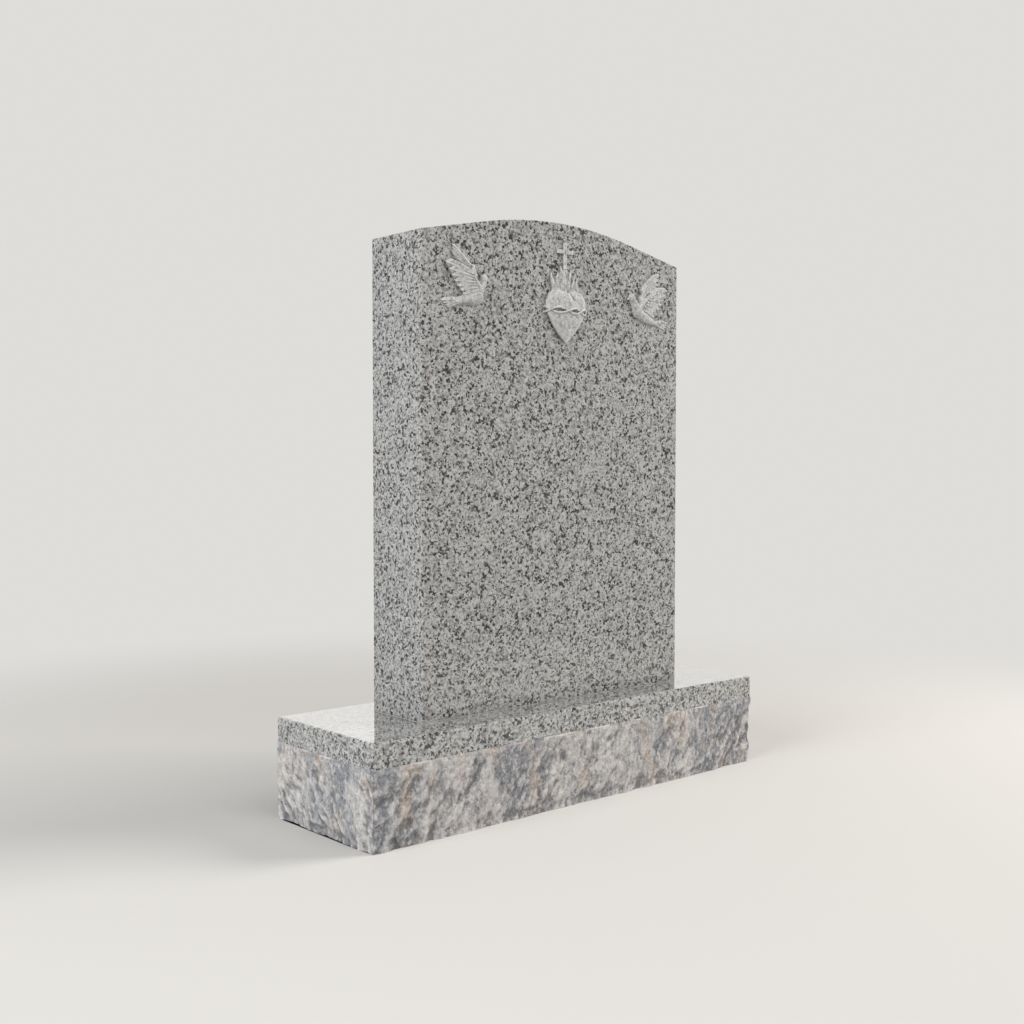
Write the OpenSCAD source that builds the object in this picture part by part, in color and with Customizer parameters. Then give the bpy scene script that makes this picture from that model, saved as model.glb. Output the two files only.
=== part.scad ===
/* [Base] */
// Width of the base across its polished margin
base_width = 1016; // [800:2:1500]
// Depth of the base across its polished margin
base_depth = 305; // [250:1:500]
// Height of the base from the ground to its polished top
base_height = 190; // [130:1:300]
// Height of the polished margin round the top of the sides
margin_height = 46; // [20:1:80]
// Leg of the small arris round the polished top
base_arris = 4; // [1:0.5:8]
// How far the pitched faces swell past the margin
pitch_swell = 4; // [2:0.5:10]
// How far the chisel hollows sink into the pitched faces
pitch_hollow = 8; // [2:0.5:14]
// How far the top of the pitched faces stands past the margin
pitch_ledge = 2; // [0.5:0.5:4]
// How far the pitched faces draw in at the ground
pitch_tuck = 7; // [2:0.5:14]
// Spacing of the chisel hollows along the faces
chisel_spacing = 36; // [24:1:60]

/* [Tablet] */
// Width of the upright tablet
tablet_width = 688; // [560:2:780]
// Thickness of the upright tablet
tablet_thickness = 152; // [90:1:220]
// Height of the tablet at its shoulders, above its foot
shoulder_height = 889; // [600:1:1300]
// Straight run of the top from each shoulder towards the middle
shoulder_run = 152; // [60:1:240]
// Slope of that straight run
shoulder_angle = 11.6; // [4:0.1:20]
// Thickness of the joint of setting compound under the tablet
bed_thickness = 1; // [1:0.5:6]
// How far the joint keeps back from the tablet's faces
bed_inset = 2; // [2:0.5:20]

/* [Doves] */
// From the tablet's side to the middle of each dove's breast
dove_inset = 120; // [110:1:160]
// From the shoulder line down to the middle of each dove's breast
dove_drop = 102; // [95:1:200]
// How far a dove's breast stands out from the face
dove_relief = 13; // [8:0.5:20]
// Radius of the breast
breast_radius = 21; // [16:0.5:26]
// Radius of the rump
rump_radius = 8; // [5:0.5:12]
// From the middle of the breast to the rump
back_length = 38; // [30:0.5:46]
// Fall of the back from the breast to the rump
back_slope = 20; // [5:1:35]
// Radius of the head
head_radius = 9; // [6:0.5:12]
// From the middle of the breast to the middle of the head
neck_length = 34; // [26:0.5:42]
// Rise of the neck above level
neck_angle = 50; // [35:1:70]
// Length of the beak past the head
beak_length = 6; // [3:0.5:10]
// Length of the near wing's arm, from elbow to wrist
arm_length = 26; // [18:0.5:34]
// Width of a flight feather
feather_width = 13; // [10:0.5:18]
// Flight feathers in each wing
wing_feathers = 7; // [5:1:9]
// Feathers in each tail
tail_feathers = 4; // [3:1:6]
// Longest feather of the left dove's near wing
left_wing_length = 70; // [50:1:90]
// Longest feather of the right dove's near wing
right_wing_length = 78; // [50:1:90]
// Longest feather of each far wing
far_wing_length = 62; // [45:1:80]
// How far a near wing stands out from the face
near_wing_relief = 10; // [6:0.5:16]
// How far a far wing stands out from the face
far_wing_relief = 7; // [4:0.5:12]
// Length of the left dove's tail feathers
left_tail_length = 46; // [30:1:70]
// Length of the right dove's tail feathers
right_tail_length = 58; // [30:1:70]
// How far a tail stands out from the face
tail_relief = 6; // [4:0.5:10]
// Thinning from the first feather of a fan to its last
feather_fall = 3; // [1:0.5:3.5]

/* [Emblem] */
// How far the emblem stands to the right of the tablet's middle
emblem_offset = 10; // [-40:1:40]
// From the shoulder line down to the middle of the heart
emblem_drop = 131; // [110:1:260]
// Width of the heart
heart_width = 108; // [80:1:140]
// Height of the heart
heart_height = 104; // [80:1:140]
// Height of the heart's widest place above its middle
heart_waist = 18; // [8:1:26]
// From the heart's middle out to the top of each lobe
lobe_middle = 22; // [16:1:30]
// How far the heart stands out from the face
heart_relief = 15; // [9:0.5:24]
// Height of the heart's steep edge
heart_edge = 4; // [2:0.5:8]
// Height of the thorn crown above the middle of the heart
thorn_lift = 10; // [0:1:20]
// Thickness of each strand of the thorn crown
strand_diameter = 5; // [3:0.5:8]
// How far the two strands swing to each side
strand_swing = 6; // [4:0.5:10]
// How far the crown stands out past the heart's sides
strand_overhang = 4; // [2:0.5:8]
// Length of a thorn
thorn_length = 7; // [5:0.5:12]
// Height of the flames above the heart
flame_height = 49; // [30:1:70]
// Width of the flames
flame_width = 72; // [50:1:84]
// Tongues in the flames
flame_tongues = 5; // [3:2:7]
// How far the flames stand out from the face
flame_relief = 8; // [5:0.5:14]
// How far the outer tongues sway to the side
tongue_sway = 3; // [1:0.5:6]
// Height of the cross
cross_height = 50; // [36:1:70]
// From the foot of the cross up to the middle of its arms
cross_arm_rise = 33; // [22:1:50]
// Width of the cross over its arms
cross_width = 42; // [28:1:60]
// Width of the bars of the cross
cross_bar = 7.5; // [6:0.5:14]
// How far the cross stands out from the face
cross_relief = 4.5; // [4:0.5:10]

/* [Hidden] */

LEFT = -1;
RIGHT = 1;
polished_grey = [0.60, 0.60, 0.58];
carved_grey = [0.76, 0.75, 0.73];
compound_grey = [0.42, 0.42, 0.40];

// Base: rings of stations round the block, one ring above another
pitch_courses = 4;
pitch_seed = 11;
flute_seed = 5;
chip_share = 0.3;
pitch_top = base_height - margin_height;
stations_wide = max(4, round(base_width / chisel_spacing));
stations_deep = max(4, round(base_depth / chisel_spacing));
half_plan = [base_width / 2, base_depth / 2];
plan_corners = [for (s = [[-1, -1], [1, -1], [1, 1], [-1, 1]]) [s.x * half_plan.x, s.y * half_plan.y]];
rim = concat(
    side_stations(plan_corners[0], plan_corners[1], stations_wide),
    side_stations(plan_corners[1], plan_corners[2], stations_deep),
    side_stations(plan_corners[2], plan_corners[3], stations_wide),
    side_stations(plan_corners[3], plan_corners[0], stations_deep)
);
rim_count = len(rim);
trim = pitch_tuck;
base_rings = concat(
    [for (course = [0:pitch_courses]) blend(-trim, pitch_top, course / pitch_courses)],
    [base_height + trim]
);
chips = rands(0, 1, rim_count * pitch_courses, pitch_seed);
flutes = rands(0, 1, rim_count, flute_seed);

// Top curve of the tablet: a round crown tangent to two straight shoulders
half_tablet = tablet_width / 2;
crown_half = half_tablet - shoulder_run;
crown_radius = crown_half / sin(shoulder_angle);
crown_foot = shoulder_height + shoulder_run * tan(shoulder_angle);
crown_height = crown_foot + crown_half * tan(shoulder_angle / 2);
tablet_foot = base_height + bed_thickness;
tablet_front = -tablet_thickness / 2;

// Doves, each drawn facing right about the middle of its breast
near_arm_turn = 72;
far_arm_turn = 94;
far_arm_length = arm_length / 2;
arm_radius = feather_width / 2;
elbow_share = [-0.6, 0.2];
elbow = elbow_share * breast_radius;
wrist = elbow + arm_length * direction(near_arm_turn);
far_wrist = wrist + far_arm_length * direction(far_arm_turn);
far_elbow_turn = 225;
far_elbow = far_wrist + arm_radius * direction(far_elbow_turn);
rump = -back_length * direction(back_slope);
head = neck_length * direction(neck_angle);
near_feather_turn = [163, 202];
far_feather_turn = [141, 153];
tail_fan = 20;
left_tail_turn = 192;
right_tail_turn = 184;
short_feather = 0.36;
short_tail_feather = 0.75;
leaf_skew = 1.25;
leaf_round = 0.6;
neck_share = 1 / 3;
beak_dip = 15;

// Emblem, drawn about the middle of the heart
heart_rings = 6;
lobe_steps = 14;
side_steps = 10;
lobe_square = 2.6;
lobe_round = 0.455;
side_bow = 1.45;
side_round = 0.9;
heart_top = heart_height / 2;
heart_half = heart_width / 2;
heart_side = concat(
    [for (k = [0:lobe_steps]) lobe_point(heart_half * sin(90 * k / lobe_steps))],
    [for (k = [1:side_steps]) side_point(k / side_steps)]
);
heart_outline = concat(
    heart_side,
    [for (k = [len(heart_side) - 2:-1:1]) [-heart_side[k].x, heart_side[k].y]]
);
heart_steps = len(heart_outline);
strand_steps = 36;
strand_sides = 8;
strand_waves = 3;
strand_sweep = 180;
strand_reach = heart_half + strand_overhang;
thorns_per_strand = 5;
thorn_span = 120;
thorn_lean = 60;
thorn_twist = 30;
tongue_root = heart_top - heart_height / 4;
tongue_fall = 0.35;
tongue_swing = 270;
tongue_taper = 0.8;
tongue_belly = 0.5;
cross_foot = heart_top + flame_height - cross_bar;
cross_arm_height = cross_foot + cross_arm_rise;
behind_face = [3 * heart_width, 3 * heart_height, 2 * heart_relief];

function direction(angle) = [cos(angle), sin(angle)];
function blend(a, b, share) = a + (b - a) * share;

function side_stations(from, to, count) = [for (i = [0:count - 1]) blend(from, to, i / count)];

// Outward way of a station: square to its face, and diagonal at a corner
function outward(p) = [
    abs(p.x) == half_plan.x ? sign(p.x) : 0,
    abs(p.y) == half_plan.y ? sign(p.y) : 0
];

// The fullest point of each face is at its middle
function is_fullest(i) = search(i, [
    floor(stations_wide / 2),
    stations_wide + floor(stations_deep / 2),
    stations_wide + stations_deep + floor(stations_wide / 2),
    2 * stations_wide + stations_deep + floor(stations_deep / 2)
]) != [];

// Hollows run up the faces on a slant, a station further at each course, and each chip differs a little
function chip(i, course) =
    course == pitch_courses / 2 && is_fullest(i) ? 0 :
    blend(flutes[(i + rim_count - course) % rim_count], chips[course * rim_count + i], chip_share);

// How far a station stands past the margin's plane
function ring_offset(i, ring) =
    ring == 0 ? -pitch_tuck :
    ring >= pitch_courses ? pitch_ledge :
    pitch_swell - pitch_hollow * pow(chip(i, ring), 2);

function base_point(i, ring) = concat(rim[i] + outward(rim[i]) * ring_offset(i, ring), base_rings[ring]);

// Leaf outline along +X: slim at the root, rounded at the tip
function leaf(length, width, steps = 12) = concat(
    [for (i = [0:steps]) [length * i / steps, width / 2 * leaf_swell(i / steps)]],
    [for (i = [steps - 1:-1:1]) [length * i / steps, -width / 2 * leaf_swell(i / steps)]]
);
function leaf_swell(share) = pow(sin(180 * pow(share, leaf_skew)), leaf_round);

// Flame outline along +Y: full at the root, drawn to a point, with a sway
function tongue(height, width, sway, steps = 14) = concat(
    [for (i = [0:steps]) tongue_point(i / steps, height, width / 2, sway)],
    [for (i = [steps - 1:-1:0]) tongue_point(i / steps, height, -width / 2, sway)]
);
function tongue_point(share, height, reach, sway) =
    let (half = reach * pow(1 - share, tongue_taper) * (1 + tongue_belly * sin(180 * share)))
    [sway * sin(tongue_swing * share) + half, height * share];

// Right half of the heart's outline: a round lobe, then a nearly straight side down to the tip
function lobe_point(across) =
    let (span = abs(across - lobe_middle) / (heart_half - lobe_middle))
    [across, heart_waist + (heart_top - heart_waist) * pow(max(0, 1 - pow(span, lobe_square)), lobe_round)];
function side_point(share) = [
    heart_half * pow(max(0, 1 - pow(share, side_bow)), side_round),
    blend(heart_waist, -heart_top, share)
];

// Ring of the heart's swelling front: ring 0 lies on the face, the others climb to the middle
function heart_ring(ring) =
    let (climb = 90 * max(0, ring - 1) / heart_rings)
    let (rise = ring == 0 ? 0 : heart_edge + (heart_relief - heart_edge) * sin(climb))
    [for (p = heart_outline) concat(cos(climb) * p, rise)];

// Centre of a strand: an arch over the heart that swings up and down
function strand_middle(turn, swing) = [
    strand_reach * sin(turn),
    thorn_lift + swing * sin(strand_waves * turn),
    heart_relief * cos(turn) + strand_diameter / 4
];

function strand_ring(turn, swing) = [for (k = [0:strand_sides - 1])
    let (around = 360 * k / strand_sides)
    strand_middle(turn, swing) + strand_diameter / 2 * [
        cos(around) * sin(turn), sin(around), cos(around) * cos(turn)
    ]];

// Faces of a tube of rings, with both ends closed
function tube_faces(rings, sides) = concat(
    [[for (k = [0:sides - 1]) k]],
    [for (r = [0:rings - 2], k = [0:sides - 1]) [
        r * sides + k, (r + 1) * sides + k, (r + 1) * sides + (k + 1) % sides, r * sides + (k + 1) % sides
    ]],
    [[for (k = [sides - 1:-1:0]) (rings - 1) * sides + k]]
);

// Block whose top edges are eased all round
module eased_block(width, depth, height, ease) {
    intersection() {
        rotate([90, 0, 0])
            linear_extrude(height = depth, center = true)
                eased_outline(width, height, ease);
        rotate([90, 0, 90])
            linear_extrude(height = width, center = true)
                eased_outline(depth, height, ease);
    }
}

module eased_outline(width, height, ease) {
    polygon([
        [-width / 2, 0], [width / 2, 0], [width / 2, height - ease],
        [width / 2 - ease, height], [-width / 2 + ease, height], [-width / 2, height - ease]
    ]);
}

// Stone before its flat faces are worked: rough courses with room to trim at both ends
module rough_stone() {
    rings = len(base_rings);
    foot = rings * rim_count;
    crown = foot + 1;
    points = concat(
        [for (ring = [0:rings - 1], i = [0:rim_count - 1]) base_point(i, ring)],
        [[0, 0, base_rings[0]], [0, 0, base_rings[rings - 1]]]
    );
    walls = [for (ring = [0:rings - 2], i = [0:rim_count - 1])
        let (j = (i + 1) % rim_count, low = ring * rim_count, high = low + rim_count)
        each [[low + i, high + i, high + j], [low + i, high + j, low + j]]];
    ends = [for (i = [0:rim_count - 1])
        let (j = (i + 1) % rim_count, last = foot - rim_count)
        each [[foot, i, j], [crown, last + j, last + i]]];
    polyhedron(points, concat(walls, ends));
}

// One stone: sawn underside, pitched sides, plain margin and polished top
module base() {
    spare = 2 * (pitch_swell + trim);
    color(polished_grey)
        intersection() {
            rough_stone();
            union() {
                translate([-(base_width + spare) / 2, -(base_depth + spare) / 2, 0])
                    cube([base_width + spare, base_depth + spare, pitch_top]);
                translate([0, 0, pitch_top])
                    eased_block(base_width, base_depth, margin_height, base_arris);
            }
        }
}

module setting_bed() {
    bed = [tablet_width - 2 * bed_inset, tablet_thickness - 2 * bed_inset];
    color(compound_grey)
        translate([-bed.x / 2, -bed.y / 2, base_height])
            cube([bed.x, bed.y, bed_thickness]);
}

module tablet_outline() {
    polygon([
        [-half_tablet, 0], [half_tablet, 0], [half_tablet, shoulder_height],
        [crown_half, crown_foot], [-crown_half, crown_foot], [-half_tablet, shoulder_height]
    ]);
    intersection() {
        translate([0, crown_height - crown_radius])
            circle(r = crown_radius, $fn = 360);
        translate([-crown_half, crown_foot])
            square([2 * crown_half, crown_radius]);
    }
}

module tablet() {
    color(polished_grey)
        translate([0, tablet_thickness / 2, tablet_foot])
            rotate([90, 0, 0])
                linear_extrude(height = tablet_thickness)
                    tablet_outline();
}

// Carvings are drawn flat, with +Z away from the tablet's front face
module on_face(across, up) {
    color(carved_grey)
        translate([across, tablet_front, tablet_foot + up])
            rotate([90, 0, 0])
                children();
}

module at_dove(side) {
    on_face(side * (half_tablet - dove_inset), shoulder_height - dove_drop)
        mirror([side == RIGHT ? 1 : 0, 0, 0])
            children();
}

module at_emblem() {
    on_face(emblem_offset, shoulder_height - emblem_drop)
        children();
}

// Half of a flattened ball that sits on the face
module pebble(place, radius, relief) {
    translate(place)
        intersection() {
            scale([1, 1, relief / radius])
                sphere(r = radius, $fn = 32);
            translate([-radius, -radius, 0])
                cube([2 * radius, 2 * radius, relief]);
        }
}

module dove_form() {
    hull() {
        pebble([0, 0], breast_radius, dove_relief);
        pebble(rump, rump_radius, tail_relief);
    }
    hull() {
        pebble(head, head_radius, near_wing_relief);
        pebble(head * neck_share, head_radius, dove_relief);
    }
    translate(head)
        rotate(-beak_dip)
            linear_extrude(height = tail_relief)
                polygon([[0, -head_radius / 2], [head_radius + beak_length, 0], [0, head_radius / 2]]);
}

// Feathers that fan from one root to another, each a little lower than the one before
module feather_fan(roots, turns, lengths, count, relief) {
    for (i = [0:count - 1]) {
        share = i / (count - 1);
        translate(blend(roots[0], roots[1], share))
            rotate(blend(turns[0], turns[1], share))
                linear_extrude(height = relief - feather_fall * share)
                    polygon(leaf(blend(lengths[0], lengths[1], share), feather_width));
    }
}

// Muscled arm of a wing, a broad leaf that runs a little past both of its joints
module wing_arm(from, turn, length, relief) {
    translate(from - arm_radius * direction(turn))
        rotate(turn)
            linear_extrude(height = relief)
                polygon(leaf(length + 2 * arm_radius, 2 * arm_radius));
}

module near_wing_form(reach) {
    feather_fan([wrist, elbow], near_feather_turn, [reach, short_feather * reach],
        wing_feathers, near_wing_relief);
    wing_arm(elbow, near_arm_turn, arm_length, near_wing_relief);
}

module far_wing_form() {
    feather_fan([far_wrist, far_elbow], far_feather_turn, [far_wing_length, far_wing_length / 2],
        wing_feathers, far_wing_relief);
    wing_arm(wrist, far_arm_turn, far_arm_length, far_wing_relief);
}

module dove_body(side) {
    at_dove(side)
        dove_form();
}

module dove_near_wing(side, reach) {
    at_dove(side)
        difference() {
            near_wing_form(reach);
            dove_form();
        }
}

module dove_far_wing(side, reach) {
    at_dove(side)
        difference() {
            far_wing_form();
            near_wing_form(reach);
            dove_form();
        }
}

module dove_tail(side, reach, turn) {
    at_dove(side)
        difference() {
            feather_fan([rump, rump], [turn, turn + tail_fan], [reach, short_tail_feather * reach],
                tail_feathers, tail_relief);
            dove_form();
        }
}

module left_dove_body() dove_body(LEFT);
module left_dove_near_wing() dove_near_wing(LEFT, left_wing_length);
module left_dove_far_wing() dove_far_wing(LEFT, left_wing_length);
module left_dove_tail() dove_tail(LEFT, left_tail_length, left_tail_turn);
module right_dove_body() dove_body(RIGHT);
module right_dove_near_wing() dove_near_wing(RIGHT, right_wing_length);
module right_dove_far_wing() dove_far_wing(RIGHT, right_wing_length);
module right_dove_tail() dove_tail(RIGHT, right_tail_length, right_tail_turn);

module heart_form() {
    points = concat(
        [for (ring = [0:heart_rings]) each heart_ring(ring)],
        [[0, 0, heart_relief]]
    );
    apex = len(points) - 1;
    back = [for (i = [heart_steps - 1:-1:0]) i];
    walls = [for (ring = [0:heart_rings - 1], i = [0:heart_steps - 1])
        let (j = (i + 1) % heart_steps, low = ring * heart_steps, high = low + heart_steps)
        each [[low + j, high + j, high + i], [low + j, high + i, low + i]]];
    front = [for (i = [0:heart_steps - 1])
        [heart_rings * heart_steps + (i + 1) % heart_steps, apex, heart_rings * heart_steps + i]];
    polyhedron(points, concat([back], walls, front));
}

module heart() {
    at_emblem()
        heart_form();
}

module strand_form(swing) {
    points = [for (s = [0:strand_steps]) each strand_ring(strand_sweep * (0.5 - s / strand_steps), swing)];
    polyhedron(points, tube_faces(strand_steps + 1, strand_sides));
}

module strand_thorns(swing) {
    for (k = [0:thorns_per_strand - 1]) {
        turn = thorn_span * (k / (thorns_per_strand - 1) - 0.5);
        up = k % 2 == 0 ? sign(swing) : -sign(swing);
        translate(strand_middle(turn, swing))
            rotate([-thorn_lean * up, 0, thorn_twist * up])
                cylinder(d1 = strand_diameter / 2, d2 = strand_diameter / 8, h = thorn_length, $fn = 16);
    }
}

module thorn_crown() {
    at_emblem()
        difference() {
            for (swing = [strand_swing, -strand_swing]) {
                strand_form(swing);
                strand_thorns(swing);
            }
            heart_form();
            translate([-behind_face.x / 2, -behind_face.y / 2, -behind_face.z])
                cube(behind_face);
        }
}

module cross_form() {
    translate([-cross_bar / 2, cross_foot])
        cube([cross_bar, cross_height, cross_relief]);
    translate([-cross_width / 2, cross_arm_height - cross_bar / 2])
        cube([cross_width, cross_bar, cross_relief]);
}

module flame_forms() {
    for (i = [0:flame_tongues - 1]) {
        share = 2 * i / (flame_tongues - 1) - 1;
        height = heart_top - tongue_root + flame_height * (1 - tongue_fall * abs(share));
        width = 2 * flame_width / (flame_tongues + 1);
        translate([share * (flame_width - width) / 2, tongue_root])
            linear_extrude(height = flame_relief - feather_fall * abs(share))
                polygon(tongue(height, width, tongue_sway * sign(share)));
    }
}

module flames() {
    at_emblem()
        difference() {
            flame_forms();
            heart_form();
            cross_form();
        }
}

module cross() {
    at_emblem()
        cross_form();
}

base();
setting_bed();
tablet();
left_dove_body();
left_dove_near_wing();
left_dove_far_wing();
left_dove_tail();
right_dove_body();
right_dove_near_wing();
right_dove_far_wing();
right_dove_tail();
heart();
thorn_crown();
flames();
cross();
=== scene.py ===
"""Dresses the granite headstone: its carved and polished pieces, their finishes and the studio.

Lengths are metres in the frame of the solid model: +X to the right seen from the carved front, +Y from
the front to the back, +Z up from the ground. Carvings are shaped in millimetres on the tablet's face,
as x across and z up about their own middle, and are set in place once they are finished.
"""
import logging
import math
from contextlib import contextmanager
from dataclasses import dataclass, field
from enum import Enum
from typing import Callable, Iterator, Sequence

import bmesh
import bpy
import numpy as np
from mathutils import Matrix, Vector, noise
from mathutils.bvhtree import BVHTree


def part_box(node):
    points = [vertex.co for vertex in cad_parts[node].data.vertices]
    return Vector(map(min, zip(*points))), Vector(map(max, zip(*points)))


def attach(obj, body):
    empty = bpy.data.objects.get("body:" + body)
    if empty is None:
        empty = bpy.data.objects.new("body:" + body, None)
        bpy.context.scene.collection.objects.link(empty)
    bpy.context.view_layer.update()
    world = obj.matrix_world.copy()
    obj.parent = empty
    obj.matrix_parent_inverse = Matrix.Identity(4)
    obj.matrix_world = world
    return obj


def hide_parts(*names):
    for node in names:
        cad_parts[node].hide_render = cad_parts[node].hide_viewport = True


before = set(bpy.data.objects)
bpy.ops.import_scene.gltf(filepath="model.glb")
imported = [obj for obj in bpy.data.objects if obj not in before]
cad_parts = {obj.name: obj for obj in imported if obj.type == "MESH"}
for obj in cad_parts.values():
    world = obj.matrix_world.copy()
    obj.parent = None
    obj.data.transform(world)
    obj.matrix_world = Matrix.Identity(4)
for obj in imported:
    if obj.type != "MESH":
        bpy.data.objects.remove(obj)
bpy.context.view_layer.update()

LOG = logging.getLogger("headstone")
MM = 0.001
BODY = "root"
MOST_CUTS = 90
SEED = 7
NEAR = 1e-5
STRAIGHT = 0.9
UP = Vector((0, 0, 1))
CARVED_TOUCH = 0.01
CARVED_ANGLE = 50
CARVED_PASSES = 70
CARVED_RELIEF = 1.6 * MM

Colour = tuple[float, float, float]
Spot = tuple[float, float]
Range = tuple[float, float]
Piece = bpy.types.Object
Edge = bmesh.types.BMEdge
Socket = bpy.types.NodeSocket


class Element(Enum):
    """The kinds of mesh element that can be picked in edit mode."""

    EDGE = "edges"
    FACE = "faces"


class Slot(Enum):
    """Material slots of the record."""

    POLISHED = "polished_granite"
    BASE = "base_granite"
    CARVED = "carved_granite"
    COMPOUND = "setting_compound"


class Side(Enum):
    """The two doves, by the side of the face that each flies on."""

    LEFT = "left"
    RIGHT = "right"

    @property
    def facing(self) -> float:
        """The way the dove flies along X: the left one to the right, the right one to the left."""
        return 1.0 if self is Side.LEFT else -1.0


# Modelling steps


def select_only(*pieces: Piece) -> None:
    """Selects these objects alone and makes the first one active.

    Args:
        pieces: The objects to select.
    """
    bpy.ops.object.select_all(action="DESELECT")
    for piece in pieces:
        piece.select_set(True)
    bpy.context.view_layer.objects.active = pieces[0]


@contextmanager
def editing(piece: Piece, element: Element) -> Iterator[None]:
    """Opens a piece in edit mode with nothing selected, and closes it again.

    Args:
        piece: The mesh object to edit.
        element: The kind of element that will be picked.

    Yields:
        Nothing; the body of the with statement runs in edit mode.
    """
    select_only(piece)
    bpy.ops.object.mode_set(mode="EDIT")
    bpy.ops.mesh.select_mode(type=element.name)
    bpy.ops.mesh.select_all(action="DESELECT")
    yield
    bpy.ops.object.mode_set(mode="OBJECT")


def pick(piece: Piece, element: Element, wanted: Callable) -> None:
    """Selects the elements of a piece in edit mode that pass a test.

    Args:
        piece: The object in edit mode.
        element: The kind of element to look through.
        wanted: Takes a bmesh element and says whether it is selected.
    """
    mesh = bmesh.from_edit_mesh(piece.data)
    for item in getattr(mesh, element.value):
        item.select_set(bool(wanted(item)))
    mesh.select_flush_mode()
    bmesh.update_edit_mesh(piece.data)


def middle(edge: Edge) -> Vector:
    """Middle of an edge."""
    return (edge.verts[0].co + edge.verts[1].co) / 2


def runs_along(edge: Edge, axis: int) -> bool:
    """Whether an edge runs along an axis."""
    return abs((edge.verts[1].co - edge.verts[0].co).normalized()[axis]) > STRAIGHT


def divide(piece: Piece, wanted: Callable, count: int) -> None:
    """Divides edges evenly in edit mode, in two passes where one can't make so many cuts.

    Args:
        piece: The object in edit mode.
        wanted: Takes an edge and says whether it is divided.
        count: About how many lengths each edge is divided into.
    """
    first = math.ceil(count / MOST_CUTS)
    for lengths in (first, round(count / first)):
        pick(piece, Element.EDGE, wanted)
        if lengths > 1:
            bpy.ops.mesh.subdivide(number_cuts=lengths - 1)


def divide_all(piece: Piece, cuts: int) -> None:
    """Divides every edge of a piece evenly."""
    with editing(piece, Element.EDGE):
        bpy.ops.mesh.select_all(action="SELECT")
        bpy.ops.mesh.subdivide(number_cuts=cuts)


def settle(piece: Piece) -> None:
    """Moves a piece's place, turn and scale into its mesh."""
    select_only(piece)
    bpy.ops.object.transform_apply(location=True, rotation=True, scale=True)


def add_block(name: str, low: Vector, high: Vector) -> Piece:
    """Adds a block between two corners.

    Args:
        name: Name of the new object.
        low: Lowest corner.
        high: Highest corner.

    Returns:
        The block, with its place in its mesh.
    """
    bpy.ops.object.select_all(action="DESELECT")
    bpy.ops.mesh.primitive_cube_add(size=1, location=(low + high) / 2)
    piece = bpy.context.object
    piece.name = name
    piece.scale = high - low
    settle(piece)
    return piece


def add_ball(centre: Vector, radii: Vector, segments: int = 32) -> Piece:
    """Adds an ellipsoid.

    Args:
        centre: Its middle.
        radii: Its radius along each axis.
        segments: Sides round its upright axis.

    Returns:
        The ellipsoid, with its place in its mesh.
    """
    bpy.ops.object.select_all(action="DESELECT")
    bpy.ops.mesh.primitive_uv_sphere_add(segments=segments, ring_count=segments // 2, location=centre)
    piece = bpy.context.object
    piece.scale = radii
    settle(piece)
    return piece


def add_spike(foot: Vector, way: Vector, length: float, radii: Range, sides: int, facing: float = 1) -> Piece:
    """Adds a cone that leaves a place in a direction.

    Args:
        foot: Middle of its wide end.
        way: Unit vector along it.
        length: Its length.
        radii: Its radius at its wide end and at its tip.
        sides: Sides round it.
        facing: -1 mirrors it across X.

    Returns:
        The cone, with its place in its mesh.
    """
    bpy.ops.object.select_all(action="DESELECT")
    bpy.ops.mesh.primitive_cone_add(vertices=sides, radius1=radii[0], radius2=radii[1], depth=length)
    spike = bpy.context.object
    turn = UP.rotation_difference(way).to_matrix().to_4x4()
    mirror = Matrix.Diagonal((facing, 1, 1, 1))
    spike.data.transform(mirror @ Matrix.Translation(foot + way * length / 2) @ turn)
    return spike


def apply_modifier(piece: Piece, kind: str, **settings: object) -> None:
    """Adds a modifier to a piece and applies it.

    Args:
        piece: The object to finish.
        kind: The modifier's type.
        settings: Values for the modifier's properties.
    """
    modifier = piece.modifiers.new(kind.title(), kind)
    for key, value in settings.items():
        setattr(modifier, key, value)
    select_only(piece)
    bpy.ops.object.modifier_apply(modifier=modifier.name)


def reshape(piece: Piece, move: Callable[[Vector], Vector]) -> None:
    """Moves every vertex of a piece by a rule.

    Args:
        piece: The mesh object to shape.
        move: Takes a vertex's place and gives its new place.
    """
    for vertex in piece.data.vertices:
        vertex.co = move(vertex.co)
    piece.data.update()


def mark_relief(piece: Piece, passes: int, reach: float, rise: Callable) -> None:
    """Notes at each vertex how far it stands out of its smoothed surroundings, for painted shade in hollows
    and painted highlight on ridges.

    Args:
        piece: The mesh object to mark, with an attribute named relief: 0.5 is level, 1 a ridge, 0 a hollow.
        passes: How often the surroundings are smoothed.
        reach: Height in metres that counts as a full ridge or hollow.
        rise: Takes the places of all vertices, one to a row, and gives the height of each.
    """
    mesh = piece.data
    count = len(mesh.vertices)
    place = np.empty(3 * count)
    ends = np.empty(2 * len(mesh.edges), dtype=np.int32)
    mesh.vertices.foreach_get("co", place)
    mesh.edges.foreach_get("vertices", ends)
    near, far = ends.reshape(-1, 2).T
    links = np.maximum(1, np.bincount(ends, minlength=count))
    height = rise(place.reshape(-1, 3))
    smooth = height.copy()
    for _ in range(passes):
        smooth = (np.bincount(near, smooth[far], count) + np.bincount(far, smooth[near], count)) / links
    level = np.clip(0.5 + (height - smooth) / (2 * reach), 0.0, 1.0)
    mesh.attributes.new("relief", "FLOAT", "POINT").data.foreach_set("value", level.astype(np.float32))


def smooth_shade(piece: Piece, degrees: float) -> None:
    """Shades a piece smooth where its faces meet at less than an angle."""
    select_only(piece)
    bpy.ops.object.shade_smooth_by_angle(angle=math.radians(degrees))


def join(name: str, parts: Sequence[Piece]) -> Piece:
    """Joins parts into one object.

    Args:
        name: Name of the joined object.
        parts: The objects to join.

    Returns:
        The joined object.
    """
    select_only(*parts)
    if len(parts) > 1:
        bpy.ops.object.join()
    piece = bpy.context.object
    piece.name = name
    piece.data.name = name
    return piece


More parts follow.
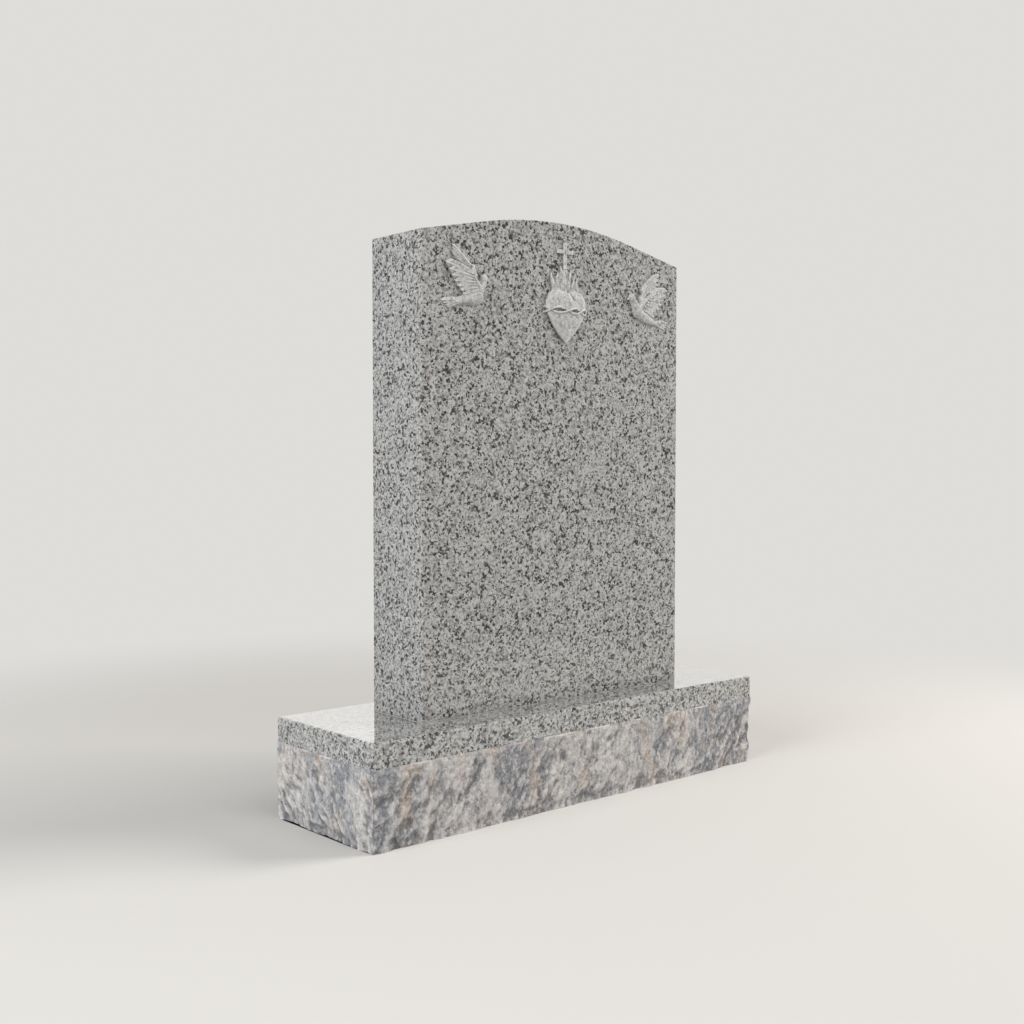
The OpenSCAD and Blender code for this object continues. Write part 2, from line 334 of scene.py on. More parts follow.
def search_tree(node: str) -> BVHTree:
    """Makes a solid of the frame ready for finding where a line meets it.

    Args:
        node: Name of the solid.

    Returns:
        The tree of its faces.
    """
    return BVHTree.FromObject(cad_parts[node], bpy.context.evaluated_depsgraph_get())


def ease(low: float, high: float, value: float) -> float:
    """Smooth step: 0 at low, 1 at high, level at both ends."""
    share = min(1.0, max(0.0, (value - low) / (high - low)))
    return share * share * (3 - 2 * share)


def between(low: float, high: float, share: float) -> float:
    """The value at a share of the way from low to high."""
    return low + (high - low) * share


def bell(value: float, centre: float, width: float) -> float:
    """Bell curve: 1 at its centre, falling away over its width."""
    return math.exp(-(((value - centre) / width) ** 2))


def heading(degrees: float) -> Vector:
    """Unit vector on the face at an angle from +X towards +Z."""
    return Vector((math.cos(math.radians(degrees)), 0, math.sin(math.radians(degrees))))


def on_face(spot: Spot, out: float = 0.0) -> Vector:
    """A point of a carving: x across and z up on the face, and how far it stands out of it."""
    return Vector((spot[0], -out, spot[1]))


# Finishes


class NodeWeb:
    """A material's node tree, with short ways to add the nodes that the stone finishes use."""

    # Sockets of a Mix node that mixes colours
    mix_share: int = 0
    mix_first: int = 6
    mix_second: int = 7
    mix_result: int = 2

    def __init__(self, name: str) -> None:
        """Starts a material that reads Object coordinates.

        Args:
            name: The material's name.
        """
        self.material = bpy.data.materials.new(name)
        self.material.use_nodes = True
        self.tree = self.material.node_tree
        self.shader = self.tree.nodes["Principled BSDF"]
        self.place = self.tree.nodes.new("ShaderNodeTexCoord").outputs["Object"]

    def fill(self, socket: Socket, value: object) -> None:
        """Links an input to another socket or gives it a value.

        Args:
            socket: The input.
            value: A socket, a number, a vector or a colour without alpha.
        """
        if isinstance(value, Socket):
            self.tree.links.new(value, socket)
        elif socket.type == "RGBA":
            socket.default_value = (*value, 1.0)
        else:
            socket.default_value = value

    def add(self, kind: str, inputs: dict, **settings: object) -> bpy.types.Node:
        """Adds a node, sets its properties and fills its inputs.

        Args:
            kind: The node's type.
            inputs: Values or sockets by input name or number.
            settings: Values for the node's own properties.

        Returns:
            The new node.
        """
        node = self.tree.nodes.new(kind)
        for key, value in settings.items():
            setattr(node, key, value)
        for key, value in inputs.items():
            self.fill(node.inputs[key], value)
        return node

    def stretched(self, lean: float, scale: Colour) -> Socket:
        """Object coordinates leaned over about Y, with each axis scaled.

        Args:
            lean: Turn in degrees.
            scale: Factor for each axis.

        Returns:
            The scaled coordinates.
        """
        inputs = {"Vector": self.place, "Rotation": (0.0, math.radians(lean), 0.0), "Scale": scale}
        return self.add("ShaderNodeMapping", inputs).outputs[0]

    def ragged(self, place: Socket, scale: float, reach: float) -> Socket:
        """Coordinates shaken by noise, so that what they place gets a ragged edge.

        Args:
            place: The coordinates to shake.
            scale: Scale of the noise.
            reach: How far the noise moves a point.

        Returns:
            The shaken coordinates.
        """
        shake = self.add("ShaderNodeTexNoise", {"Vector": place, "Scale": scale, "Detail": 3.0})
        centred = self.vectors("SUBTRACT", {0: shake.outputs["Color"], 1: (0.5, 0.5, 0.5)})
        return self.vectors("ADD", {0: place, 1: self.vectors("SCALE", {0: centred, "Scale": reach})})

    def cloud(self, place: Socket, scale: float, detail: float = 4.0, rough: float = 0.6) -> Socket:
        """Noise.

        Args:
            place: Coordinates.
            scale: Scale of the noise.
            detail: Octaves of finer noise.
            rough: Strength of the finer octaves.

        Returns:
            The noise as a number about 0.5.
        """
        settings = {"Vector": place, "Scale": scale, "Detail": detail, "Roughness": rough}
        return self.add("ShaderNodeTexNoise", settings).outputs["Fac"]

    def grains(self, place: Socket, scale: float) -> Socket:
        """A random number for each crystal grain.

        Args:
            place: Coordinates.
            scale: Grains to the metre.

        Returns:
            A number from 0 to 1 that is level over each grain.
        """
        cells = self.add("ShaderNodeTexVoronoi", {"Vector": place, "Scale": scale})
        return self.add("ShaderNodeSeparateColor", {0: cells.outputs["Color"]}).outputs[0]

    def band(self, value: Socket, low: float, high: float) -> Socket:
        """A smooth 0 to 1 ramp of a number between two levels."""
        inputs = {"Value": value, "From Min": low, "From Max": high}
        return self.add("ShaderNodeMapRange", inputs, interpolation_type="SMOOTHSTEP").outputs[0]

    def relief(self) -> Socket:
        """The relief noted at the vertices: 0.5 is level, 1 a ridge, 0 a hollow."""
        return self.add("ShaderNodeAttribute", {}, attribute_name="relief").outputs["Fac"]

    def sums(self, operation: str, first: object, second: object) -> Socket:
        """A Math node on two numbers or sockets."""
        return self.add("ShaderNodeMath", {0: first, 1: second}, operation=operation).outputs[0]

    def vectors(self, operation: str, inputs: dict) -> Socket:
        """A Vector Math node that gives a vector."""
        return self.add("ShaderNodeVectorMath", inputs, operation=operation).outputs[0]

    def mix(self, share: object, first: object, second: object) -> Socket:
        """Mixes two colours.

        Args:
            share: How much of the second colour, as a number or socket.
            first: A colour or socket.
            second: A colour or socket.

        Returns:
            The mixed colour.
        """
        inputs = {self.mix_share: share, self.mix_first: first, self.mix_second: second}
        return self.add("ShaderNodeMix", inputs, data_type="RGBA").outputs[self.mix_result]

    def shade(self, **inputs: object) -> None:
        """Fills inputs of the surface shader, named with underscores for spaces."""
        for key, value in inputs.items():
            self.fill(self.shader.inputs[key.replace("_", " ")], value)

    def bump(self, height: Socket, distance: float, strength: float) -> None:
        """Gives the shader a bump.

        Args:
            height: Height as a number.
            distance: Depth that one unit of height stands for.
            strength: How much of the bump shows.
        """
        inputs = {"Height": height, "Distance": distance, "Strength": strength}
        self.shade(Normal=self.add("ShaderNodeBump", inputs).outputs[0])


@dataclass(frozen=True)
class Mottle:
    """Cloudy patches: a noise, the two levels that they fade in between, and how strong they get."""

    scale: float
    fade: Range
    strength: float
    detail: float = 4.0
    rough: float = 0.6

    def mask(self, web: NodeWeb, place: Socket) -> Socket:
        """Builds the patches.

        Args:
            web: The node tree to build in.
            place: The coordinates that place them.

        Returns:
            A number from 0 between the patches to their strength inside them.
        """
        patches = web.band(web.cloud(place, self.scale, self.detail, self.rough), *self.fade)
        return web.sums("MULTIPLY", patches, self.strength)


@dataclass(frozen=True)
class PaintedShading:
    """Painted shade and painted highlight: how far hollows are painted darker and ridges paler, and between
    which levels of relief.
    """

    hollow: Range
    shade_strength: float
    ridge: Range
    highlight_strength: float

    def over(self, web: NodeWeb, body: Socket, dark: Colour, pale: Colour) -> Socket:
        """Paints shade into the hollows and highlight onto the ridges of a colour.

        Args:
            web: The node tree to build in.
            body: The colour of level stone.
            dark: The colour of the painted shade in hollows.
            pale: The colour of the painted highlight on ridges.

        Returns:
            The colour with its painted shade and painted highlight.
        """
        relief = web.relief()
        # Painted shade in hollows and painted highlight on ridges, set by the relief noted at the vertices
        shade_share = web.sums("MULTIPLY", web.band(relief, *self.hollow), self.shade_strength)
        highlight_share = web.sums("MULTIPLY", web.band(relief, *self.ridge), self.highlight_strength)
        return web.mix(highlight_share, web.mix(shade_share, body, dark), pale)


@dataclass(frozen=True)
class GraniteGrain:
    """The crystals of the stone, the same through every piece cut from it."""

    feldspar: Colour = (0.50, 0.50, 0.49)
    milky: Colour = (0.36, 0.362, 0.357)
    quartz: Colour = (0.155, 0.157, 0.158)
    mica: Colour = (0.008, 0.009, 0.010)
    blush: Colour = (0.47, 0.45, 0.435)
    shake: Range = (260.0, 0.006)
    feldspar_scale: float = 260.0
    blushing: Mottle = Mottle(26.0, (0.50, 0.68), 0.6)
    quartz_scale: float = 200.0
    quartz_fade: Range = (0.50, 0.86)
    quartz_strength: float = 0.8
    smoky: Mottle = Mottle(200.0, (0.50, 0.63), 0.85, detail=3.0)
    cluster_scale: float = 55.0
    cluster_strength: float = 0.5
    mica_scale: float = 200.0
    mica_fade: Range = (0.79, 0.95)
    speck_scale: float = 350.0
    speck_fade: Range = (0.80, 0.96)

    def colour(self, web: NodeWeb) -> Socket:
        """Builds the speckled colour.

        Args:
            web: The node tree to build in.

        Returns:
            The colour of the stone.
        """
        ragged = web.ragged(web.place, *self.shake)
        matrix = web.mix(web.grains(ragged, self.feldspar_scale), self.milky, self.feldspar)
        matrix = web.mix(self.blushing.mask(web, web.place), matrix, self.blush)
        grey = web.band(web.grains(ragged, self.quartz_scale), *self.quartz_fade)
        grey = web.sums("MULTIPLY", grey, self.quartz_strength)
        body = web.mix(web.sums("MAXIMUM", grey, self.smoky.mask(web, ragged)), matrix, self.quartz)
        centred = web.sums("SUBTRACT", web.cloud(web.place, self.cluster_scale), 0.5)
        crowd = web.sums("MULTIPLY", centred, self.cluster_strength)
        flecks = web.band(web.sums("ADD", web.grains(ragged, self.mica_scale), crowd), *self.mica_fade)
        specks = web.band(web.sums("ADD", web.grains(ragged, self.speck_scale), crowd), *self.speck_fade)
        return web.mix(web.sums("MAXIMUM", flecks, specks), body, self.mica)


@dataclass(frozen=True)
class PolishedGranite:
    """Mirror-polished stone: speckled, hard and glossy."""

    name: str = "polished_granite"
    grain: GraniteGrain = GraniteGrain()
    roughness: float = 0.09
    index: float = 1.6
    coat: float = 0.8
    coat_roughness: float = 0.03
    haze_scale: float = 40.0

    def make(self) -> bpy.types.Material:
        """Builds the finish and returns its material."""
        web = NodeWeb(self.name)
        web.shade(Base_Color=self.grain.colour(web), IOR=self.index)
        hazed = web.cloud(web.place, self.haze_scale, detail=3.0, rough=0.5)
        web.shade(Roughness=web.sums("MULTIPLY", hazed, self.roughness * 2))
        web.shade(Coat_Weight=self.coat, Coat_Roughness=self.coat_roughness, Coat_IOR=self.index)
        return web.material


@dataclass(frozen=True)
class PitchedGranite:
    """Broken stone: pale crushed grain, mottled warm and blue, with painted shade in its hollows and painted
    highlight on its ridges and on the ledge under the margin.
    """

    grain: GraniteGrain = GraniteGrain()
    pale: Colour = (0.615, 0.592, 0.578)
    warm: Colour = (0.57, 0.455, 0.36)
    blue: Colour = (0.19, 0.208, 0.245)
    # Dark patches of dull grain, and also the painted shade in hollows
    deep: Colour = (0.13, 0.13, 0.135)
    # Pale crushed grain, and also the painted highlight on ridges and on the ledge under the margin
    pale_and_highlight: Colour = (0.78, 0.745, 0.73)
    patch_lean: float = 24.0
    patch_stretch: Colour = (1.0, 1.0, 0.5)
    patch_shake: Range = (18.0, 0.05)
    cold: Mottle = Mottle(11.0, (0.44, 0.60), 0.95, detail=6.0, rough=0.62)
    warmth: Mottle = Mottle(21.0, (0.50, 0.66), 0.82, detail=5.0, rough=0.65)
    stroke_lean: float = 28.0
    stroke_stretch: Colour = (1.0, 1.0, 0.38)
    strokes: Mottle = Mottle(27.0, (0.50, 0.64), 0.78, rough=0.55)
    fibre_lean: float = 14.0
    fibre_stretch: Colour = (1.0, 1.0, 0.6)
    fibre_shake: Range = (190.0, 0.008)
    crushed: Mottle = Mottle(120.0, (0.50, 0.60), 0.58, detail=5.0, rough=0.62)
    dull_shake: Range = (110.0, 0.012)
    dull: Mottle = Mottle(105.0, (0.52, 0.61), 0.46, detail=5.0, rough=0.62)
    fleck_share: float = 0.30
    # Painted shade in the hollows and painted highlight on the ridges of the broken face
    painted_shading: PaintedShading = PaintedShading((0.48, 0.05), 0.65, (0.52, 0.95), 0.5)
    # Painted highlight on the ledge at the top of the broken face: its height, the band's width and its gaps
    lip: float = 143 * MM
    ledge_highlight_width: float = 3 * MM
    ledge_highlight_gaps: Mottle = Mottle(22.0, (0.46, 0.62), 0.6)
    roughness: float = 0.82
    fine_grit: float = 260.0
    coarse_grit: float = 110.0

    def make(self) -> bpy.types.Material:
        """Builds the finish and returns its material."""
        web = NodeWeb("pitched_granite")
        patchy = web.ragged(web.stretched(self.patch_lean, self.patch_stretch), *self.patch_shake)
        drawn = web.stretched(self.stroke_lean, self.stroke_stretch)
        fibrous = web.ragged(web.stretched(self.fibre_lean, self.fibre_stretch), *self.fibre_shake)
        torn = web.ragged(fibrous, *self.dull_shake)
        marks = (
            (self.cold, patchy, self.blue),
            (self.warmth, patchy, self.warm),
            (self.strokes, drawn, self.blue),
            (self.crushed, fibrous, self.pale_and_highlight),
            (self.dull, torn, self.deep),
        )
        body = self.pale
        for mottle, place, colour in marks:
            body = web.mix(mottle.mask(web, place), body, colour)
        body = web.mix(self.fleck_share, body, self.grain.colour(web))
        # Painted shade in hollows and painted highlight on ridges
        body = self.painted_shading.over(web, body, self.deep, self.pale_and_highlight)
        # Painted highlight: a patchy pale band at the top of the broken face, where the ledge under the
        # margin catches the light
        height = web.add("ShaderNodeSeparateXYZ", {0: web.place}).outputs["Z"]
        edge = web.band(height, self.lip - self.ledge_highlight_width, self.lip)
        body = web.mix(web.sums("MULTIPLY", edge, self.ledge_highlight_gaps.mask(web, web.place)), body, self.pale_and_highlight)
        web.shade(Base_Color=body, Roughness=self.roughness)
        fine = web.cloud(web.place, self.fine_grit, detail=5.0, rough=0.7)
        coarse = web.cloud(web.place, self.coarse_grit, detail=3.0, rough=0.5)
        web.bump(web.sums("ADD", fine, coarse), distance=0.003, strength=0.9)
        return web.material


@dataclass(frozen=True)
class CarvedGranite:
    """Frosted stone: the crystals crushed pale by fine tools, their flecks only just showing, with painted
    shade in its hollows and painted highlight on its ridges.
    """

    grain: GraniteGrain = GraniteGrain()
    frost: Colour = (0.72, 0.725, 0.727)
    # The painted shade in hollows, and the painted highlight on ridges
    shadow: Colour = (0.10, 0.105, 0.11)
    pale_and_highlight: Colour = (0.80, 0.795, 0.785)
    frosting: float = 0.42
    # Painted shade in hollows and painted highlight on ridges
    painted_shading: PaintedShading = PaintedShading((0.47, 0.05), 0.85, (0.53, 0.95), 0.7)
    roughness: float = 0.62
    tool_scale: float = 330.0
    tool_stretch: Colour = (0.6, 1.0, 1.0)

    def make(self) -> bpy.types.Material:
        """Builds the finish and returns its material."""
        web = NodeWeb("carved_granite")
        body = web.mix(self.frosting, self.grain.colour(web), self.frost)
        # Painted shade in hollows and painted highlight on ridges
        body = self.painted_shading.over(web, body, self.shadow, self.pale_and_highlight)
        web.shade(Base_Color=body, Roughness=self.roughness)
        marks = web.cloud(web.stretched(0.0, self.tool_stretch), self.tool_scale, detail=4.0, rough=0.65)
        web.bump(marks, distance=0.0022, strength=0.7)
        return web.material


@dataclass(frozen=True)
class SettingCompound:
    """Grey compound squeezed into the joint, matt and slightly pitted."""

    grey: Colour = (0.36, 0.36, 0.35)
    paler: float = 1.35
    roughness: float = 0.85
    mottle_scale: float = 220.0
    pit_scale: float = 700.0

    def make(self) -> bpy.types.Material:
        """Builds the finish and returns its material."""
        web = NodeWeb("setting_compound")
        mottle = web.cloud(web.place, self.mottle_scale, detail=5.0)
        pale = tuple(self.paler * part for part in self.grey)
        web.shade(Base_Color=web.mix(mottle, self.grey, pale), Roughness=self.roughness)
        web.bump(web.cloud(web.place, self.pit_scale, detail=3.0), distance=0.0006, strength=0.6)
        return web.material


class Finishes:
    """The materials, each made once."""

    def __init__(self) -> None:
        """Makes every material."""
        self.polished = PolishedGranite().make()
        self.mirror = PolishedGranite(name="mirror_granite", roughness=0.06, coat=1.0).make()
        self.pitched = PitchedGranite().make()
        self.carved = CarvedGranite().make()
        self.compound = SettingCompound().make()


def set_in_place(piece: Piece, node: str) -> None:
    """Hands a finished piece to the frame.

    Args:
        piece: The finished object.
        node: The node of the solid model that it stands for.
    """
    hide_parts(node)
    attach(piece, BODY)
    LOG.info("%s: %d faces, stands for %s", piece.name, len(piece.data.polygons), node)


# The stones


@dataclass
class Base:
    """Bottom stone: polished top and margin over sides broken by the pitching chisel."""

    margin_height: float = 46 * MM
    arris: float = 4 * MM
    corner_ease: float = 1.2 * MM
    cell: float = 2.4 * MM
    swell: float = 4 * MM
    ledge: float = 0.8 * MM
    streak: float = 0.5
    slant: float = 0.45
    scallop_size: float = 60 * MM
    scallop_depth: float = 4 * MM
    broad_size: float = 40 * MM
    broad_depth: float = 5 * MM
    lump_size: float = 12 * MM
    lump_depth: float = 2.0 * MM
    spread: float = 11 * MM
    corner_round: float = 9 * MM
    bite: float = 1.5 * MM
    foot: float = 14 * MM
    scallop_level: float = 0.3
    bend_size: float = 1.5
    bend_reach: float = 0.4
    broad_noise: tuple[float, float, int] = (0.9, 2.1, 3)
    lump_noise: tuple[float, float, int] = (0.6, 2.1, 3)
    lump_squash: float = 0.8
    calm_share: float = 0.3
    calm_reach: float = 30 * MM
    ledge_fade: Range = (7 * MM, 1 * MM)
    corner_wear: Range = (0.6, 0.7)
    corner_wave: float = 20 * MM
    corner_fade: Range = (12 * MM, 2 * MM)
    probe_out: float = 20 * MM
    probe_length: float = 60 * MM
    skin: float = 0.5 * MM
    level_normal: float = 0.5
    relief_passes: int = 24
    full_relief: float = 1.8 * MM
    smooth_angle: float = 35
    solid: BVHTree = field(default_factory=lambda: search_tree("base"))
    low: Vector = field(default_factory=lambda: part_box("base")[0])
    high: Vector = field(default_factory=lambda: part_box("base")[1])

    @property
    def half(self) -> Vector:
        """Half the width and depth across the margin."""
        return Vector((self.high.x - self.swell, self.high.y - self.swell, 0))

    @property
    def pitch_top(self) -> float:
        """Height of the line where the broken sides meet the margin."""
        return self.high.z - self.margin_height

    def build(self) -> Piece:
        """Models the stone: the broken block below and the polished cap, made one.

        Returns:
            The base as one closed mesh.
        """
        block = self._pitched_block()
        cap = self._polished_cap()
        apply_modifier(block, "BOOLEAN", operation="UNION", solver="EXACT", object=cap)
        bpy.data.objects.remove(cap)
        block.name = "base_stone"
        return block

    def _polished_cap(self) -> Piece:
        """Models the worked top: a block with eased corners and a small arris round its top."""
        half = self.half
        low = Vector((-half.x, -half.y, self.pitch_top - self.bite))
        cap = add_block("polished_cap", low, Vector((half.x, half.y, self.high.z)))
        with editing(cap, Element.EDGE):
            pick(cap, Element.EDGE, lambda edge: middle(edge).z > self.high.z - NEAR)
            bpy.ops.mesh.bevel(offset=self.arris, segments=2, affect="EDGES")
            bpy.ops.mesh.select_all(action="DESELECT")
            pick(cap, Element.EDGE, self._up_corner)
            bpy.ops.mesh.bevel(offset=self.corner_ease, segments=1, affect="EDGES")
        return cap

    def _up_corner(self, edge: Edge) -> bool:
        """Whether an edge of the cap runs up one of its four corners, or over the arris there."""
        spot = middle(edge)
        return abs((self.half.x - abs(spot.x)) - (self.half.y - abs(spot.y))) < NEAR

    def _pitched_block(self) -> Piece:
        """Models the lower block and breaks its sides."""
        half = self.half
        low = Vector((-half.x, -half.y, 0))
        block = add_block("pitched_block", low, Vector((half.x, half.y, self.pitch_top)))
        with editing(block, Element.EDGE):
            for axis, length in enumerate((2 * half.x, 2 * half.y, self.pitch_top)):
                divide(block, self._side_edges(axis), round(length / self.cell))
        reshape(block, self._broken)
        return block

    def _side_edges(self, axis: int) -> Callable[[Edge], bool]:
        """A test for the edges of the four sides that run along an axis."""
        return lambda edge: runs_along(edge, axis) and self._side_point(middle(edge))

    def _broken(self, spot: Vector) -> Vector:
        """Moves a point of the plain side to its place on the broken side."""
        if not self._side_point(spot):
            return spot
        mean, swing = self.corner_wear
        worn = mean + swing * noise.noise(Vector((spot.x, spot.y, spot.z / self.corner_wave)))
        start, end = self.corner_fade
        near_top = ease(self.pitch_top - start, self.pitch_top - end, spot.z)
        bend = between(self.corner_round * worn, self.corner_ease, near_top)
        core = Vector((max(0.0, self.half.x - bend), max(0.0, self.half.y - bend), 0))
        across = math.copysign(max(0.0, abs(spot.x) - core.x), spot.x)
        deep = math.copysign(max(0.0, abs(spot.y) - core.y), spot.y)
        way = Vector((across, deep, 0))
        foot = spot - way
        return foot + way.normalized() * (bend + self.offset(spot))

    def _side_point(self, spot: Vector) -> bool:
        """Whether a point of the plain block lies on one of its sides."""
        return abs(spot.x) > self.half.x - NEAR or abs(spot.y) > self.half.y - NEAR

    def offset(self, spot: Vector) -> float:
        """How far the broken side stands past the margin.

        Args:
            spot: A point of the plain side.

        Returns:
            The distance, less than nothing in a hollow.
        """
        lean = -self.slant * spot.z
        above = Vector((spot.x, spot.y, max(spot.z, self.foot)))
        drift = -self.slant * above.z
        tall = Vector((spot.x + drift, spot.y + drift, above.z * self.streak))
        wander = noise.noise_vector(tall / (self.bend_size * self.scallop_size))
        bent = tall + wander * self.scallop_size * self.bend_reach
        dish = noise.voronoi(bent / self.scallop_size)[0][0] ** 2
        broad = noise.fractal(bent / self.broad_size, *self.broad_noise)
        squat = Vector((spot.x + lean, spot.y + lean, spot.z * self.lump_squash))
        lump = noise.fractal(squat / self.lump_size, *self.lump_noise)
        calm = between(self.calm_share, 1.0, ease(0.0, self.calm_reach, self.pitch_top - spot.z))
        scallop = self.scallop_depth * (dish - self.scallop_level)
        rough = calm * (scallop + self.broad_depth * broad) + self.lump_depth * lump
        raw = self._hollow(above) + rough
        kept = raw if raw < 0 else self.swell * math.tanh(raw / self.swell)
        lip = self.ledge * (1.0 + noise.noise(spot / self.lump_size))
        start, end = self.ledge_fade
        return between(kept, lip, ease(self.pitch_top - start, self.pitch_top - end, spot.z))

    def _hollow(self, spot: Vector) -> float:
        """How far the solid's own chisel hollows stand past the margin, softened over a few places.

        Args:
            spot: A point of the plain side.

        Returns:
            The mean distance over the places round the point that meet the solid.
        """
        wide = abs(spot.x) / self.half.x < abs(spot.y) / self.half.y
        out = Vector((0, math.copysign(1, spot.y), 0)) if wide else Vector((math.copysign(1, spot.x), 0, 0))
        along = Vector((1, 0, 0)) if wide else Vector((0, 1, 0))
        found = []
        for across, up in ((0, 0), (1, 0), (-1, 0), (0, 1), (0, -1)):
            start = spot + self.spread * (across * along + up * UP) + self.probe_out * out
            start.z = min(max(start.z, self.skin), self.pitch_top - self.skin)
            start = self._kept_in(start, along)
            place = self.solid.ray_cast(start, -out, self.probe_length)[0]
            if place:
                found.append((place - spot).dot(out))
        return sum(found) / max(1, len(found))

    def _kept_in(self, spot: Vector, along: Vector) -> Vector:
        """Keeps a point clear of the stone's corners along the way that its side runs."""
        room = self.half.dot(along) - self.corner_round
        place = spot.dot(along)
        return spot + along * (max(-room, min(room, place)) - place)

    def dress(self, piece: Piece, finishes: Finishes) -> None:
        """Gives the worked faces and the broken faces their finishes.

        Args:
            piece: The modelled base.
            finishes: The materials.
        """
        mesh = piece.data
        mesh.materials.clear()
        for finish in (finishes.mirror, finishes.polished, finishes.pitched):
            mesh.materials.append(finish)
        level, margin, broken = range(len(mesh.materials))
        for face in mesh.polygons:
            top = max(mesh.vertices[corner].co.z for corner in face.vertices)
            worked = level if face.normal.z > self.level_normal else margin
            face.material_index = worked if top > self.pitch_top + self.skin else broken
        half = self.half

        def past_margin(places: np.ndarray) -> np.ndarray:
            """How far each place stands past the margin."""
            return np.maximum(abs(places[:, 0]) - half.x, abs(places[:, 1]) - half.y)

        # The relief noted here sets the painted shade and painted highlight on the broken faces
        mark_relief(piece, self.relief_passes, self.full_relief, past_margin)
        smooth_shade(piece, self.smooth_angle)
        for face in mesh.polygons:
            face.use_smooth = face.material_index == broken
        set_in_place(piece, "base")


@dataclass
class SettingBed:
    """The squeezed joint of setting compound between the base and the tablet."""

    squeeze_out: float = 1.5 * MM
    bulge: float = 0.4 * MM
    wave: float = 20 * MM
    long_cuts: int = 60
    short_cuts: int = 15

    def build(self) -> Piece:
        """Models the bed with a slightly uneven squeezed edge."""
        low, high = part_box("setting_bed")
        room = Vector((self.squeeze_out, self.squeeze_out, 0))
        low, high = low - room, high + room
        bed = add_block("setting_joint", low, high)
        with editing(bed, Element.EDGE):
            for axis, cuts in enumerate((self.long_cuts, self.short_cuts)):
                pick(bed, Element.EDGE, lambda edge, way=axis: runs_along(edge, way))
                bpy.ops.mesh.subdivide(number_cuts=cuts)
        reach = Vector((high.x, high.y))

        def squeeze(spot: Vector) -> Vector:
            """Moves the rim in and out by a little."""
            shift = self.bulge * noise.noise(spot / self.wave)
            if abs(spot.x) > reach.x - NEAR:
                spot.x += math.copysign(shift, spot.x)
            if abs(spot.y) > reach.y - NEAR:
                spot.y += math.copysign(shift, spot.y)
            return spot

        reshape(bed, squeeze)
        return bed

    def dress(self, piece: Piece, finishes: Finishes) -> None:
        """Gives the bed its finish and hands it to the frame."""
        piece.data.materials.append(finishes.compound)
        set_in_place(piece, "setting_bed")


@dataclass
class Tablet:
    """Upright polished slab with straight shoulders and a round crown."""

    shoulder_run: float = 152 * MM
    shoulder_angle: float = math.radians(11.6)
    arris: float = 1.2 * MM
    arris_angle: float = math.radians(30)
    top_cuts: int = 95
    smooth_angle: float = 12
    low: Vector = field(default_factory=lambda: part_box("tablet")[0])
    high: Vector = field(default_factory=lambda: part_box("tablet")[1])

    def top(self, across: float) -> float:
        """Height of the slab's top at a distance from its middle.

        Args:
            across: Distance from the middle of the tablet.

        Returns:
            The height above the ground.
        """
        crown_half = self.high.x - self.shoulder_run
        radius = crown_half / math.sin(self.shoulder_angle)
        if abs(across) <= crown_half:
            return self.high.z - radius + math.sqrt(radius ** 2 - across ** 2)
        foot = self.high.z - radius * (1 - math.cos(self.shoulder_angle))
        return foot - (abs(across) - crown_half) * math.tan(self.shoulder_angle)

    def build(self) -> Piece:
        """Models the slab, bends its top edge to the curve and eases its edges.

        Returns:
            The tablet as one closed mesh.
        """
        slab = add_block("tablet_stone", self.low, self.high)
        level = self.high.z - NEAR
        with editing(slab, Element.EDGE):
            pick(slab, Element.EDGE, lambda edge: runs_along(edge, 0) and middle(edge).z > level)
            bpy.ops.mesh.subdivide(number_cuts=self.top_cuts)

        def arch(spot: Vector) -> Vector:
            """Lowers a point of the flat top to the curve."""
            return Vector((spot.x, spot.y, self.top(spot.x))) if spot.z > level else spot

        reshape(slab, arch)
        limit = {"limit_method": "ANGLE", "angle_limit": self.arris_angle}
        apply_modifier(slab, "BEVEL", width=self.arris, segments=2, **limit)
        return slab

    def dress(self, piece: Piece, finishes: Finishes) -> None:
        """Gives the slab its finish and hands it to the frame."""
        piece.data.materials.append(finishes.polished)
        smooth_shade(piece, self.smooth_angle)
        set_in_place(piece, "tablet")


# The carvings


@dataclass(frozen=True)
class Chisel:
    """How a carving is fused, smoothed and set against the face."""

    voxel: float = 0.5
    passes: int = 2
    strength: float = 0.5
    sink: float = 0.3

    def fuse(self, name: str, parts: Sequence[Piece]) -> Piece:
        """Fuses overlapping parts into one closed skin with a flat back.

        Args:
            name: Name of the carving.
            parts: Closed shapes in millimetres about the carving's middle.

        Returns:
            The carving, still in millimetres about its middle.
        """
        piece = join(name, parts)
        self.skin(piece)
        self.smooth(piece)
        self.flatten(piece)
        return piece

    def skin(self, piece: Piece) -> None:
        """Gives a piece one closed skin of even cells."""
        apply_modifier(piece, "REMESH", mode="VOXEL", voxel_size=self.voxel, adaptivity=0.0)

    def smooth(self, piece: Piece) -> None:
        """Smooths a piece."""
        apply_modifier(piece, "SMOOTH", factor=self.strength, iterations=self.passes)

    def flatten(self, piece: Piece) -> None:
        """Cuts a carving off flat, a little inside the face that it stands on."""
        with editing(piece, Element.FACE):
            bpy.ops.mesh.select_all(action="SELECT")
            bpy.ops.mesh.bisect(
                plane_co=(0, self.sink, 0), plane_no=(0, 1, 0), use_fill=True, clear_outer=True
            )
            bpy.ops.mesh.select_all(action="SELECT")
            bpy.ops.mesh.normals_make_consistent(inside=False)


@dataclass(frozen=True)
class Feather:
    """One carved feather: a rounded blade with a raised shaft."""

    root: Spot
    turn: float
    length: float
    width: float
    lift: float
    thickness: float = 6.4
    roll: float = -22.0


@dataclass(frozen=True)
class FanPlan:
    """How the feathers of one wing or tail are laid, from its first feather to its last, in millimetres."""

    roots: tuple[Spot, Spot]
    turns: Spot
    lengths: Spot
    feathers: int
    relief: float


